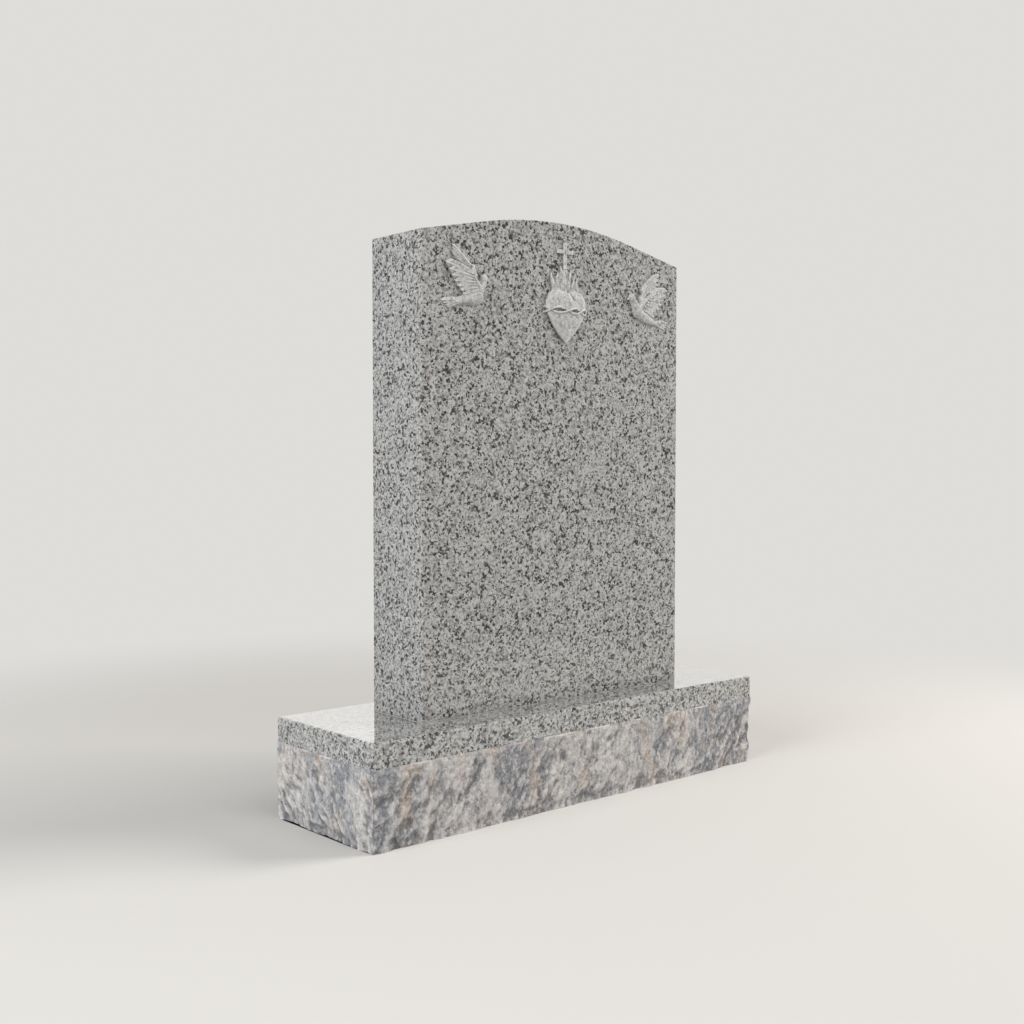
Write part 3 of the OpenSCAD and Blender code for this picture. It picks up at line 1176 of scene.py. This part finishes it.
class FeatherBlade:
    """The feather that every wing and tail copies: one unit long, wide and thick."""

    cuts: int = 15
    root_share: float = 0.62
    fullest: float = 0.55
    tip_start: float = 0.78
    tip_power: float = 1.7
    tip_width: float = 0.12
    shaft_height: float = 0.36
    shaft_width: float = 0.17
    shaft_fall: float = 0.6
    camber: float = 0.8
    thinning: float = 0.5
    skirt: float = 4.0

    def __init__(self) -> None:
        """Models the blade along +X, its front towards -Y."""
        bpy.ops.object.select_all(action="DESELECT")
        bpy.ops.mesh.primitive_cube_add(size=1, location=(0.5, 0, 0))
        self.piece = bpy.context.object
        self.piece.name = "feather_blade"
        settle(self.piece)
        divide_all(self.piece, self.cuts)
        reshape(self.piece, self._blade)

    def _blade(self, spot: Vector) -> Vector:
        """Shapes a point of the plain block into the blade."""
        along = spot.x
        side = 2 * spot.z
        swell = between(self.root_share, 1.0, ease(0.0, self.fullest, along))
        tip = max(0.0, (along - self.tip_start) / (1 - self.tip_start))
        half = 0.5 * swell * max(self.tip_width, 1 - tip ** self.tip_power)
        shaft = self.shaft_height * bell(side, 0.0, self.shaft_width) * (1 - self.shaft_fall * along)
        front = 0.5 * (1 - self.camber * side * side) * (1 - self.thinning * along) + shaft
        depth = -front if spot.y < 0 else self.skirt
        if abs(spot.y) < 0.5 - NEAR:
            depth = between(-front, self.skirt, spot.y + 0.5)
        return Vector((along, depth, side * half))

    def copy(self, feather: Feather, facing: float) -> Piece:
        """Copies the blade as one feather.

        Args:
            feather: The feather's place and size in millimetres.
            facing: 1 for a dove that flies to the right, -1 to the left.

        Returns:
            The copy, with a mesh of its own.
        """
        copy = self.piece.copy()
        copy.data = self.piece.data.copy()
        bpy.context.collection.objects.link(copy)
        size = Matrix.Diagonal((feather.length, feather.thickness, feather.width, 1))
        roll = Matrix.Rotation(math.radians(feather.roll), 4, "X")
        turn = Matrix.Rotation(-math.radians(feather.turn), 4, "Y")
        place = Matrix.Translation(on_face(feather.root, feather.lift))
        mirror = Matrix.Diagonal((facing, 1, 1, 1))
        copy.data.transform(mirror @ place @ turn @ roll @ size)
        return copy

    def discard(self) -> None:
        """Removes the model blade once every feather is cut."""
        bpy.data.objects.remove(self.piece)


@dataclass(frozen=True)
class Station:
    """One ball of a body or an arm: its spot on the face, its radius there and how far it stands out."""

    spot: Spot
    radius: float
    relief: float

    def towards(self, other: "Station", share: float) -> "Station":
        """The station at a share of the way to another one."""
        spot = tuple(between(here, there, share) for here, there in zip(self.spot, other.spot))
        radius = between(self.radius, other.radius, share)
        return Station(spot, radius, between(self.relief, other.relief, share))


@dataclass
class Dove:
    """A dove in flight, drawn facing right about the middle of its breast, in millimetres."""

    side: Side
    blade: FeatherBlade
    trunk: tuple[Station, ...]
    neck: tuple[Station, ...]
    arm: tuple[Station, ...]
    far_arm: tuple[Station, ...]
    near: FanPlan
    far: FanPlan
    rear: FanPlan
    chain_steps: int = 8
    beak_length: float = 7.0
    beak_turn: float = -26.0
    beak_radii: Range = (4.8, 1.2)
    beak_lift: float = 2.5
    beak_sides: int = 20
    eye_spot: Spot = (2.5, 1.5)
    eye_radii: Range = (0.6, 2.2)
    eye_depth: float = 1.1
    eye_front: float = 3.0
    overlap: float = 1.3
    least_spacing: float = 6.0
    stoutest: float = 0.45
    length_power: float = 0.85
    feather_bed: float = 5.0
    body_chisel: Chisel = Chisel(passes=14)
    chisel: Chisel = Chisel()
    inset: float = 120 * MM
    drop: float = 102 * MM

    @classmethod
    def left(cls, blade: FeatherBlade) -> "Dove":
        """The left dove: wings swept up and back together, tail drawn out level."""
        return cls(
            Side.LEFT,
            blade,
            trunk=(Station((6, -8), 17, 10.5), Station((-25, -17.5), 9.5, 8), Station((-42, -22), 6, 5.5)),
            neck=(Station((13, 4), 11.5, 10.5), Station((20, 16), 8.2, 10), Station((24, 26.5), 8, 10)),
            arm=(Station((-6, 40), 3.4, 9), Station((-2, 25), 4.2, 11), Station((9, 10), 5.0, 12)),
            far_arm=(Station((2, 30), 4.5, 8), Station((-4, 46), 3.6, 7.5)),
            near=FanPlan(((-6, 31.5), (6, 4)), (165.5, 200), (63, 33), 7, 10.5),
            far=FanPlan(((-4, 45), (-9, 40)), (142, 147), (60, 50), 4, 6.0),
            rear=FanPlan(((-34, -16), (-34, -21)), (188, 204), (43, 31), 4, 6.0),
        )

    @classmethod
    def right(cls, blade: FeatherBlade) -> "Dove":
        """The right dove: a slender slanting body, the near wing bent at its wrist, a wider tail."""
        return cls(
            Side.RIGHT,
            blade,
            trunk=(
                Station((6, -2), 14.5, 10.5),
                Station((-15, -12), 12, 9.5),
                Station((-38, -20), 7, 6.5),
                Station((-50, -22.5), 5, 5),
            ),
            neck=(Station((13, 9), 10.5, 10.5), Station((20, 19), 8.2, 10), Station((24, 26.5), 8, 10)),
            arm=(Station((4, 4), 10.0, 10.8), Station((-11, 19), 7.5, 10.2), Station((-31, 35), 4.0, 8.8)),
            far_arm=(Station((-1, 22), 7.0, 8), Station((-13, 33), 6.5, 7.5), Station((-5, 43), 4.2, 7.5)),
            near=FanPlan(((-31, 35), (-6, 4)), (165, 203), (52, 38), 7, 10.5),
            far=FanPlan(((-5, 42), (-10, 34)), (144, 158), (66, 48), 4, 7.0),
            rear=FanPlan(((-44, -19), (-44, -23)), (180, 196), (45, 38), 4, 5.0),
        )

    def place(self, tablet: Tablet) -> Vector:
        """Where the middle of the breast lies on the tablet's face.

        Args:
            tablet: The slab that carries the dove.

        Returns:
            The place in metres.
        """
        across = -self.side.facing * (tablet.high.x - self.inset)
        return Vector((across, tablet.low.y, tablet.top(tablet.high.x) - self.drop))

    def carving(self, part: str) -> str:
        """Name of the carving of one part of the dove."""
        return f"{self.side.value}_dove_{part}_carving"

    def chain(self, stations: Sequence[Station]) -> list[Piece]:
        """Adds rows of flattened balls that swell or narrow from station to station.

        Args:
            stations: The balls that the rows run through.

        Returns:
            The balls.
        """
        made = []
        for first, last in zip(stations, stations[1:]):
            for step in range(self.chain_steps):
                ball = first.towards(last, step / (self.chain_steps - 1))
                centre = on_face((ball.spot[0] * self.side.facing, ball.spot[1]))
                made.append(add_ball(centre, Vector((ball.radius, ball.relief, ball.radius))))
        return made

    def body(self) -> Piece:
        """Models the body: breast, back to the rump, neck, head, beak and eye."""
        parts = self.chain(self.trunk) + self.chain(self.neck) + [self._beak()]
        piece = self.body_chisel.fuse(self.carving("body"), parts)
        reshape(piece, self._eyed)
        return piece

    def _beak(self) -> Piece:
        """Adds the beak: a cone that leaves the head a little downwards."""
        head = self.neck[-1]
        foot = on_face(head.spot, self.beak_lift)
        reach = head.radius + self.beak_length
        way = heading(self.beak_turn)
        return add_spike(foot, way, reach, self.beak_radii, self.beak_sides, self.side.facing)

    def _eyed(self, spot: Vector) -> Vector:
        """Sinks the small eye into the front of the head."""
        head = self.neck[-1].spot
        eye = Vector(((head[0] + self.eye_spot[0]) * self.side.facing, 0, head[1] + self.eye_spot[1]))
        away = math.hypot(spot.x - eye.x, spot.z - eye.z)
        if away < self.eye_radii[1] and spot.y < -self.eye_front:
            spot.y += self.eye_depth * (1 - ease(*self.eye_radii, away))
        return spot

    def fan(self, plan: FanPlan) -> list[Piece]:
        """Cuts a fan of feathers whose leading edges stand up over one another.

        Args:
            plan: How the feathers lie.

        Returns:
            The feathers.
        """
        shares = [step / (plan.feathers - 1) for step in range(plan.feathers)]
        roots = [tuple(between(*ends, share) for ends in zip(*plan.roots)) for share in shares]
        turns = [between(*plan.turns, share) for share in shares]
        lengths = [between(*plan.lengths, share ** self.length_power) for share in shares]
        tips = [on_face(root) + heading(turn) * length for root, turn, length in zip(roots, turns, lengths)]
        made = []
        for step, (root, turn, length) in enumerate(zip(roots, turns, lengths)):
            beside = tips[step + 1] if step + 1 < plan.feathers else tips[step - 1]
            width = self.overlap * max(self.least_spacing, (beside - tips[step]).length)
            width = min(width, self.stoutest * length)
            feather = Feather(root, turn, length, width, plan.relief - self.feather_bed)
            made.append(self.blade.copy(feather, self.side.facing))
        return made

    def near_wing(self) -> Piece:
        """Models the near wing: flight feathers that run back to the arm, and the arm."""
        return self.chisel.fuse(self.carving("near_wing"), self.fan(self.near) + self.chain(self.arm))

    def far_wing(self) -> Piece:
        """Models the far wing, which shows above the near one."""
        return self.chisel.fuse(self.carving("far_wing"), self.fan(self.far) + self.chain(self.far_arm))

    def tail(self) -> Piece:
        """Models the tail: a narrow fan of feathers from the rump."""
        return self.chisel.fuse(self.carving("tail"), self.fan(self.rear))

    def build(self) -> dict[str, Piece]:
        """Models every piece of the dove.

        Returns:
            The pieces by the node that each stands for.
        """
        makers = {
            "body": self.body,
            "near_wing": self.near_wing,
            "far_wing": self.far_wing,
            "tail": self.tail,
        }
        return {f"{self.side.value}_dove_{part}": maker() for part, maker in makers.items()}


@dataclass(frozen=True)
class FlameRow:
    """One row of licks: half their width, their share of the full height, how far out and how full."""

    count: int
    half: float
    reach: float
    raised: float
    fullness: float = 1.6


@dataclass
class Emblem:
    """Flaming heart with a thorn crown and a cross, drawn about the heart's middle, in millimetres."""

    width: float = 108.0
    height: float = 104.0
    relief: float = 15.0
    edge: float = 4.0
    waist: float = 18.0
    lobe_centre: float = 22.0
    lobe_power: float = 2.6
    lobe_round: float = 0.455
    side_power: float = 1.45
    side_round: float = 0.9
    core_lift: float = 8.0
    edge_fall: float = 12.0
    dome_power: float = 2.4
    outline_trials: int = 22
    heart_sides: int = 96
    heart_chisel: Chisel = Chisel(voxel=0.9)
    carved_front: float = 1.0
    least_rise: float = 0.5
    crease_fade: float = 6.0
    crease_bell: Range = (3.0, 5.0)
    lap_height: float = 1.3
    lap_bell: Range = (-3.0, 4.0)
    groove_edge: Range = (1.6, 0.8)
    groove_front: Range = (-1.0, -6.0)
    crease_depth: float = 2.4
    crease_foot: Spot = (14.0, 30.0)
    crown_lift: float = 11.0
    groove_depth: float = 1.8
    strand_radius: float = 2.0
    strand_swing: float = 5.2
    strand_waves: Spot = (3.6, 5.2)
    strand_phase: float = 14.0
    strand_steps: int = 90
    strand_round: int = 4
    strand_end: float = 89.0
    strand_lift: float = 1.2
    strand_weave: float = 0.9
    knot_swell: float = 0.12
    knot_waves: float = 9.0
    overhang: float = 4.0
    thorn_length: float = 6.5
    thorns: int = 6
    thorn_radii: Range = (1.5, 0.35)
    thorn_sides: int = 14
    thorn_end: float = 78.0
    thorn_shift: float = 4.0
    thorn_out: float = 0.75
    thorn_along: float = 0.35
    thorn_up: float = 0.8
    flame_root: float = 34.0
    flame_height: float = 49.0
    flame_width: float = 72.0
    flame_relief: float = 7.0
    flame_rise: float = 6.0
    flame_margin: float = 2.0
    flame_shift: float = 1.0
    flame_fall: float = 0.42
    flame_fall_power: float = 1.2
    flame_dip: float = 0.1
    flame_right: float = 0.3
    flame_sink: float = 3.0
    flame_step: float = 1.0
    flame_back: float = 3.0
    flame_ridge: float = 3.6
    flame_cuts: int = 17
    flame_rows: tuple[FlameRow, ...] = (FlameRow(7, 8.5, 1.06, 0.6), FlameRow(6, 6.2, 0.82, 1.6))
    flame_mass: FlameRow = FlameRow(3, 35.0, 0.94, -1.7, 3.0)
    sway_most: float = 4.2
    sway_share: float = 0.6
    sway_turns: float = 5.5
    sway_phase: float = 2.2
    splay_root: float = 0.82
    splay_rise: float = 0.18
    lick_tip: float = 0.05
    lick_taper: float = 0.9
    lick_fall: float = 0.3
    ridge_sway: float = 0.25
    ridge_power: float = 1.2
    cross_height: float = 50.0
    cross_width: float = 42.0
    cross_bar: float = 7.5
    cross_relief: float = 4.5
    cross_arm_share: float = 0.66
    cross_shift: float = -1.5
    chisel: Chisel = Chisel()
    offset: float = 10 * MM
    drop: float = 131 * MM

    def place(self, tablet: Tablet) -> Vector:
        """Where the middle of the heart lies on the tablet's face.

        Args:
            tablet: The slab that carries the emblem.

        Returns:
            The place in metres.
        """
        return Vector((self.offset, tablet.low.y, tablet.top(tablet.high.x) - self.drop))

    def inside(self, across: float, up: float) -> bool:
        """Whether a point of the face lies inside the heart's outline."""
        half = self.width / 2
        side = abs(across)
        if up >= self.waist:
            span = abs(side - self.lobe_centre) / (half - self.lobe_centre)
            rise = self.height / 2 - self.waist
            return span < 1 and up - self.waist < rise * (1 - span ** self.lobe_power) ** self.lobe_round
        share = (self.waist - up) / (self.waist + self.height / 2)
        return share < 1 and side < half * (1 - share ** self.side_power) ** self.side_round

    def outline(self, angle: float) -> float:
        """How far the heart's outline lies from its core.

        Args:
            angle: Angle round the core from straight up, in radians.

        Returns:
            The distance.
        """
        near, far = 0.0, self.width + self.height
        for _ in range(self.outline_trials):
            trial = (near + far) / 2
            if self.inside(trial * math.sin(angle), self.core_lift + trial * math.cos(angle)):
                near = trial
            else:
                far = trial
        return near

    def heart(self) -> Piece:
        """Models the heart: a swelling dome with a cleft, a crease and a groove for the crown."""
        ball = add_ball(Vector((0, 0, 0)), Vector((1, 1, 1)), self.heart_sides)
        ball.data.transform(Matrix.Rotation(math.radians(90), 4, "X"))
        reshape(ball, self._heart_point)
        self.heart_chisel.skin(ball)
        reshape(ball, self._creased)
        self.heart_chisel.smooth(ball)
        ball.name = "heart_carving"
        self.heart_chisel.flatten(ball)
        return ball

    def _heart_point(self, spot: Vector) -> Vector:
        """Moves a point of the unit ball to the heart's dome."""
        reach = min(1.0, math.hypot(spot.x, spot.z))
        angle = math.atan2(spot.x, spot.z)
        away = reach * self.outline(angle)
        rise = math.copysign(self.dome(reach), spot.y)
        return Vector((away * math.sin(angle), rise, self.core_lift + away * math.cos(angle)))

    def dome(self, reach: float) -> float:
        """How far the heart's front stands out.

        Args:
            reach: The place, as a share of the way from the heart's core to its outline.

        Returns:
            The height over the face, which falls to nothing just past the outline.
        """
        if reach > 1:
            return self.edge * max(0.0, 1 - self.edge_fall * (reach - 1))
        return self.edge + (self.relief - self.edge) * math.sqrt(1 - reach ** self.dome_power)

    def _creased(self, spot: Vector) -> Vector:
        """Cuts the crease where one lobe laps over the other, and the groove under the thorn crown."""
        if spot.y > -self.carved_front:
            return spot
        across, low = self.crease_foot
        high = self.height / 2
        run_down = (high - spot.z) / (high - low)
        beside = spot.x - across * run_down
        share = ease(low - self.crease_fade, low + self.crease_fade, spot.z)
        crease = bell(beside, *self.crease_bell) * share
        lap = self.lap_height * bell(beside, *self.lap_bell) * share
        turn = math.asin(max(-1.0, min(1.0, spot.x / (self.width / 2 + self.overhang))))
        lens = self.strand_swing * abs(math.sin(self._twist(turn)))
        inner, outer = self.groove_edge
        groove = 1 - ease(lens - inner, lens + outer, abs(spot.z - self.crown_lift))
        groove *= ease(*self.groove_front, spot.y)
        carved = spot.y + self.crease_depth * crease - lap + self.groove_depth * groove
        spot.y = min(-self.least_rise, carved)
        return spot

    def _twist(self, turn: float) -> float:
        """How far the strands have wound round each other at an angle: tighter on the right half."""
        loose, tight = self.strand_waves
        return (tight if turn > 0 else loose) * turn + math.radians(self.strand_phase)

    def _strand_spot(self, turn: float, swing: float) -> Vector:
        """Centre of a strand at an angle round the heart from its middle."""
        reach = self.width / 2 + self.overhang
        wave = self._twist(turn)
        lift = self.crown_lift + swing * math.sin(wave)
        twist = math.copysign(1.0, swing) * math.cos(wave)
        across = reach * math.sin(turn)
        angle = math.atan2(across, lift - self.core_lift)
        share = math.hypot(across, lift - self.core_lift) / self.outline(angle)
        out = self.dome(share) + self.strand_lift + self.strand_weave * twist
        return Vector((across, -max(0.0, out), lift))

    def _strand(self, swing: float) -> Piece:
        """Models one strand of the crown as a tube."""
        curve = bpy.data.curves.new("strand", "CURVE")
        curve.dimensions = "3D"
        curve.bevel_depth = self.strand_radius
        curve.bevel_resolution = self.strand_round
        curve.use_fill_caps = True
        spline = curve.splines.new("POLY")
        spline.points.add(self.strand_steps)
        for step, point in enumerate(spline.points):
            turn = math.radians(between(-self.strand_end, self.strand_end, step / self.strand_steps))
            point.co = (*self._strand_spot(turn, swing), 1.0)
            point.radius = 1.0 + self.knot_swell * math.sin(self.knot_waves * turn)
        strand = bpy.data.objects.new("strand", curve)
        bpy.context.collection.objects.link(strand)
        select_only(strand)
        bpy.ops.object.convert(target="MESH")
        return bpy.context.object

    def _thorn(self, step: int, swing: float) -> Piece:
        """Adds one thorn that leaves a strand.

        Args:
            step: Its number from the left.
            swing: The strand's swing, which says which strand it is.

        Returns:
            The thorn.
        """
        spread = between(-self.thorn_end, self.thorn_end, step / (self.thorns - 1))
        turn = math.radians(spread + self.thorn_shift * math.copysign(1, swing))
        up = 1 if (step % 2 == 0) == (swing > 0) else -1
        across = self.thorn_out * math.sin(turn) + self.thorn_along * up
        way = Vector((across, -self.thorn_out * math.cos(turn), self.thorn_up * up)).normalized()
        foot = self._strand_spot(turn, swing)
        return add_spike(foot, way, self.thorn_length, self.thorn_radii, self.thorn_sides)

    def crown(self) -> Piece:
        """Models the thorn crown: two strands twisted round the heart, with thorns."""
        parts = []
        for swing in (self.strand_swing, -self.strand_swing):
            parts.append(self._strand(swing))
            parts += [self._thorn(step, swing) for step in range(self.thorns)]
        return self.chisel.fuse("thorn_crown_carving", parts)

    def flames(self) -> Piece:
        """Models the flames: two rows of swaying licks behind the lobes, and a broad mass under them."""
        parts = [self._lick(row, step) for row in self.flame_rows for step in range(row.count)]
        parts.append(self._lick(self.flame_mass, self.flame_mass.count // 2))
        return self.chisel.fuse("flames_carving", parts)

    def _lick(self, row: FlameRow, step: int) -> Piece:
        """Models one lick of flame: full at its root, swaying, drawn to a point and ridged.

        Args:
            row: The row that it stands in.
            step: Its number from the left.

        Returns:
            The lick.
        """
        share = 2 * step / (row.count - 1) - 1
        short = self.flame_fall * abs(share) ** self.flame_fall_power
        short += self.flame_dip if step % 2 else 0.0
        short += self.flame_dip if share > self.flame_right else 0.0
        tip = self.height / 2 + row.reach * self.flame_height * (1 - short)
        root = self.flame_root + self.flame_rise * (1 - abs(share))
        lean = share * (self.flame_width / 2 - self.flame_margin) - self.flame_shift
        lift = self.flame_relief - self.flame_sink + row.raised - (self.flame_step if step % 2 else 0.0)
        wavy = min(self.sway_most, self.sway_share * row.half)
        phase = self.sway_phase * step
        bpy.ops.object.select_all(action="DESELECT")
        bpy.ops.mesh.primitive_cube_add(size=2)
        lick = bpy.context.object
        divide_all(lick, self.flame_cuts)

        def sway(spot: Vector) -> Vector:
            """Shapes a point of the plain block into the lick."""
            along = (spot.z + 1) / 2
            slim = max(self.lick_tip, (1 - along ** row.fullness) ** self.lick_taper)
            splay = lean * (self.splay_root + self.splay_rise * along)
            bow = splay + wavy * along * math.sin(self.sway_turns * along + phase)
            ridge = 1 - abs(spot.x + self.ridge_sway * math.sin(phase)) ** self.ridge_power
            front = lift * (1 - self.lick_fall * along) + self.flame_ridge * ridge * slim ** 0.5
            depth = between(-front, self.flame_back, (spot.y + 1) / 2)
            return Vector((bow + spot.x * row.half * slim, depth, between(root, tip, along)))

        reshape(lick, sway)
        return lick

    def cross(self) -> Piece:
        """Models the cross: a stem with two arms drawn out of it, its edges worn."""
        foot = self.height / 2 + self.flame_height - self.cross_bar
        arm = foot + self.cross_arm_share * self.cross_height
        half = self.cross_bar / 2
        core = Vector((self.cross_shift, 0, arm))
        low = core + Vector((-half, -self.cross_relief, -half))
        cross = add_block("cross_bars", low, core + Vector((half, self.cross_relief, half)))
        arms = (
            (Vector((1, 0, 0)), self.cross_width / 2 - half),
            (Vector((-1, 0, 0)), self.cross_width / 2 - half),
            (Vector((0, 0, 1)), foot + self.cross_height - arm - half),
            (Vector((0, 0, -1)), arm - half - foot),
        )
        with editing(cross, Element.FACE):
            for way, reach in arms:
                self._draw_arm(cross, way, reach, core, half)
        return self.chisel.fuse("cross_carving", [cross])

    @staticmethod
    def _draw_arm(cross: Piece, way: Vector, reach: float, core: Vector, half: float) -> None:
        """Draws one arm out of the middle block.

        Args:
            cross: The cross in edit mode.
            way: Direction of the arm.
            reach: How far it is drawn out.
            core: Middle of the crossing.
            half: Half the width of a bar.
        """
        def is_end(face: bmesh.types.BMFace) -> bool:
            """Whether a face closes the crossing on the arm's side."""
            beside = face.calc_center_median() - core - way * half
            away = max(abs(beside.x), abs(beside.z))
            return face.normal.dot(way) > STRAIGHT and away < CARVED_TOUCH

        bpy.ops.mesh.select_all(action="DESELECT")
        pick(cross, Element.FACE, is_end)
        bpy.ops.mesh.extrude_region_move(TRANSFORM_OT_translate={"value": way * reach})

    def build(self) -> dict[str, Piece]:
        """Models every piece of the emblem.

        Returns:
            The pieces by the node that each stands for.
        """
        makers = {
            "heart": self.heart,
            "thorn_crown": self.crown,
            "flames": self.flames,
            "cross": self.cross,
        }
        return {node: maker() for node, maker in makers.items()}


def dress_carvings(pieces: dict[str, Piece], place: Vector, finishes: Finishes) -> None:
    """Sets carvings on the face and gives them their finish.

    Args:
        pieces: Carvings in millimetres about their middle, by the node that each stands for.
        place: Where the middle lies on the face, in metres.
        finishes: The materials.
    """
    for node, piece in pieces.items():
        piece.data.transform(Matrix.Translation(place) @ Matrix.Scale(MM, 4))
        piece.data.update()
        piece.data.materials.clear()
        piece.data.materials.append(finishes.carved)
        smooth_shade(piece, CARVED_ANGLE)
        # The relief noted here sets the painted shade and painted highlight on the carvings
        mark_relief(piece, CARVED_PASSES, CARVED_RELIEF, lambda places: -places[:, 1])
        set_in_place(piece, node)


# The studio


@dataclass(frozen=True)
class Softbox:
    """One soft rectangular light."""

    name: str
    place: tuple[float, float, float]
    target: tuple[float, float, float]
    size: Spot
    watts: float
    colour: Colour
    mirrored: bool = False

    def make(self) -> None:
        """Adds the light, aimed at its target: either only seen in polish, or lighting matt stone only."""
        light = bpy.data.lights.new(self.name, "AREA")
        light.shape = "RECTANGLE"
        light.size, light.size_y = self.size
        light.energy = self.watts
        light.color = self.colour
        box = bpy.data.objects.new(self.name, light)
        box.location = self.place
        way = Vector(self.target) - Vector(self.place)
        box.rotation_euler = way.to_track_quat("-Z", "Y").to_euler()
        box.visible_camera = False
        box.visible_glossy = self.mirrored
        box.visible_diffuse = not self.mirrored
        bpy.context.collection.objects.link(box)


@dataclass(frozen=True)
class Studio:
    """Pale floor that fades into a pale surround, soft lights and the camera."""

    eye: tuple[float, float, float] = (-1.7201, -1.8735, 0.6613)
    heading_deg: float = 41.531
    dip_deg: float = 2.238
    lens_mm: float = 44.189
    sensor_mm: float = 36.0
    surround: Colour = (0.74, 0.725, 0.70)
    spread_share: float = 0.5
    gloss_share: float = 0.6
    floor_colour: Colour = (0.63, 0.62, 0.60)
    floor_radius: float = 4.0
    floor_roughness: float = 0.9
    floor_sides: int = 96
    fade_from: float = 0.9
    fade_to: float = 2.6
    boxes: tuple[Softbox, ...] = (
        Softbox("key", (4.4, -2.3, 4.0), (0, 0, 0.6), (2.8, 2.8), 265, (1.0, 0.965, 0.925)),
        Softbox("side", (2.6, -1.3, 0.5), (0.4, 0, 0.2), (0.9, 0.6), 20, (1.0, 0.94, 0.88)),
        Softbox("fill", (-4.6, -0.6, 2.1), (0, 0, 0.5), (2.6, 2.4), 182, (0.96, 0.98, 1.0)),
        Softbox("top", (-0.4, -2.0, 3.6), (0, 0, 0.5), (2.4, 2.4), 30, (1.0, 0.99, 0.975)),
        Softbox("back_left", (0.8, 3.9, 1.2), (0, 0, 0.2), (4.0, 3.4), 29, (1.0, 0.99, 0.965), True),
        Softbox("back_right", (4.1, 2.1, 1.2), (0, 0, 0.2), (4.0, 3.4), 21, (1.0, 0.985, 0.95), True),
    )

    def build(self) -> None:
        """Makes the camera, the surround, the lights and the floor."""
        self._camera()
        self._surround()
        for box in self.boxes:
            box.make()
        self._floor()
        bpy.context.scene.view_settings.view_transform = "Standard"

    def _camera(self) -> None:
        """Adds the camera where the view is taken from."""
        data = bpy.data.cameras.new("camera")
        data.sensor_width = self.sensor_mm
        data.lens = self.lens_mm
        camera = bpy.data.objects.new("camera", data)
        camera.location = self.eye
        camera.rotation_euler = (math.radians(90 - self.dip_deg), 0, -math.radians(self.heading_deg))
        bpy.context.collection.objects.link(camera)
        bpy.context.scene.camera = camera

    def _surround(self) -> None:
        """Gives the world one even pale tone, which lights matt surfaces less than it shows in gloss."""
        world = bpy.data.worlds.new("surround")
        world.use_nodes = True
        nodes = world.node_tree.nodes
        links = world.node_tree.links
        back = nodes["Background"]
        back.inputs["Color"].default_value = (*self.surround, 1.0)
        rays = nodes.new("ShaderNodeLightPath")
        dim = nodes.new("ShaderNodeMath")
        dim.operation = "MULTIPLY_ADD"
        dim.inputs[1].default_value = self.spread_share - 1
        dim.inputs[2].default_value = 1.0
        lift = nodes.new("ShaderNodeMath")
        lift.operation = "MULTIPLY_ADD"
        lift.inputs[1].default_value = self.gloss_share - 1
        links.new(rays.outputs["Is Diffuse Ray"], dim.inputs[0])
        links.new(rays.outputs["Is Glossy Ray"], lift.inputs[0])
        links.new(dim.outputs[0], lift.inputs[2])
        links.new(lift.outputs[0], back.inputs["Strength"])
        bpy.context.scene.world = world

    def _floor(self) -> None:
        """Adds the floor, a disc whose rim fades out."""
        bpy.ops.object.select_all(action="DESELECT")
        size = {"vertices": self.floor_sides, "radius": self.floor_radius}
        bpy.ops.mesh.primitive_circle_add(fill_type="NGON", **size)
        floor = bpy.context.object
        floor.name = "floor"
        web = NodeWeb("pale_floor")
        web.shade(Base_Color=self.floor_colour, Roughness=self.floor_roughness, Specular_IOR_Level=0.0)
        away = web.add("ShaderNodeVectorMath", {0: web.place}, operation="LENGTH").outputs["Value"]
        fade = web.band(away, self.fade_from, self.fade_to)
        clear = web.add("ShaderNodeBsdfTransparent", {})
        both = web.add("ShaderNodeMixShader", {0: fade, 1: web.shader.outputs[0], 2: clear.outputs[0]})
        web.tree.links.new(both.outputs[0], web.tree.nodes["Material Output"].inputs["Surface"])
        floor.data.materials.append(web.material)


def main() -> None:
    """Builds the studio and every piece of the headstone, in order."""
    logging.basicConfig(level=logging.INFO, format="%(name)s: %(message)s")
    noise.seed_set(SEED)
    Studio().build()
    finishes = Finishes()
    base = Base()
    base.dress(base.build(), finishes)
    bed = SettingBed()
    bed.dress(bed.build(), finishes)
    tablet = Tablet()
    tablet.dress(tablet.build(), finishes)
    blade = FeatherBlade()
    doves = (Dove.left(blade), Dove.right(blade))
    for dove in doves:
        dress_carvings(dove.build(), dove.place(tablet), finishes)
    blade.discard()
    emblem = Emblem()
    dress_carvings(emblem.build(), emblem.place(tablet), finishes)


if __name__ == "__main__":
    main()
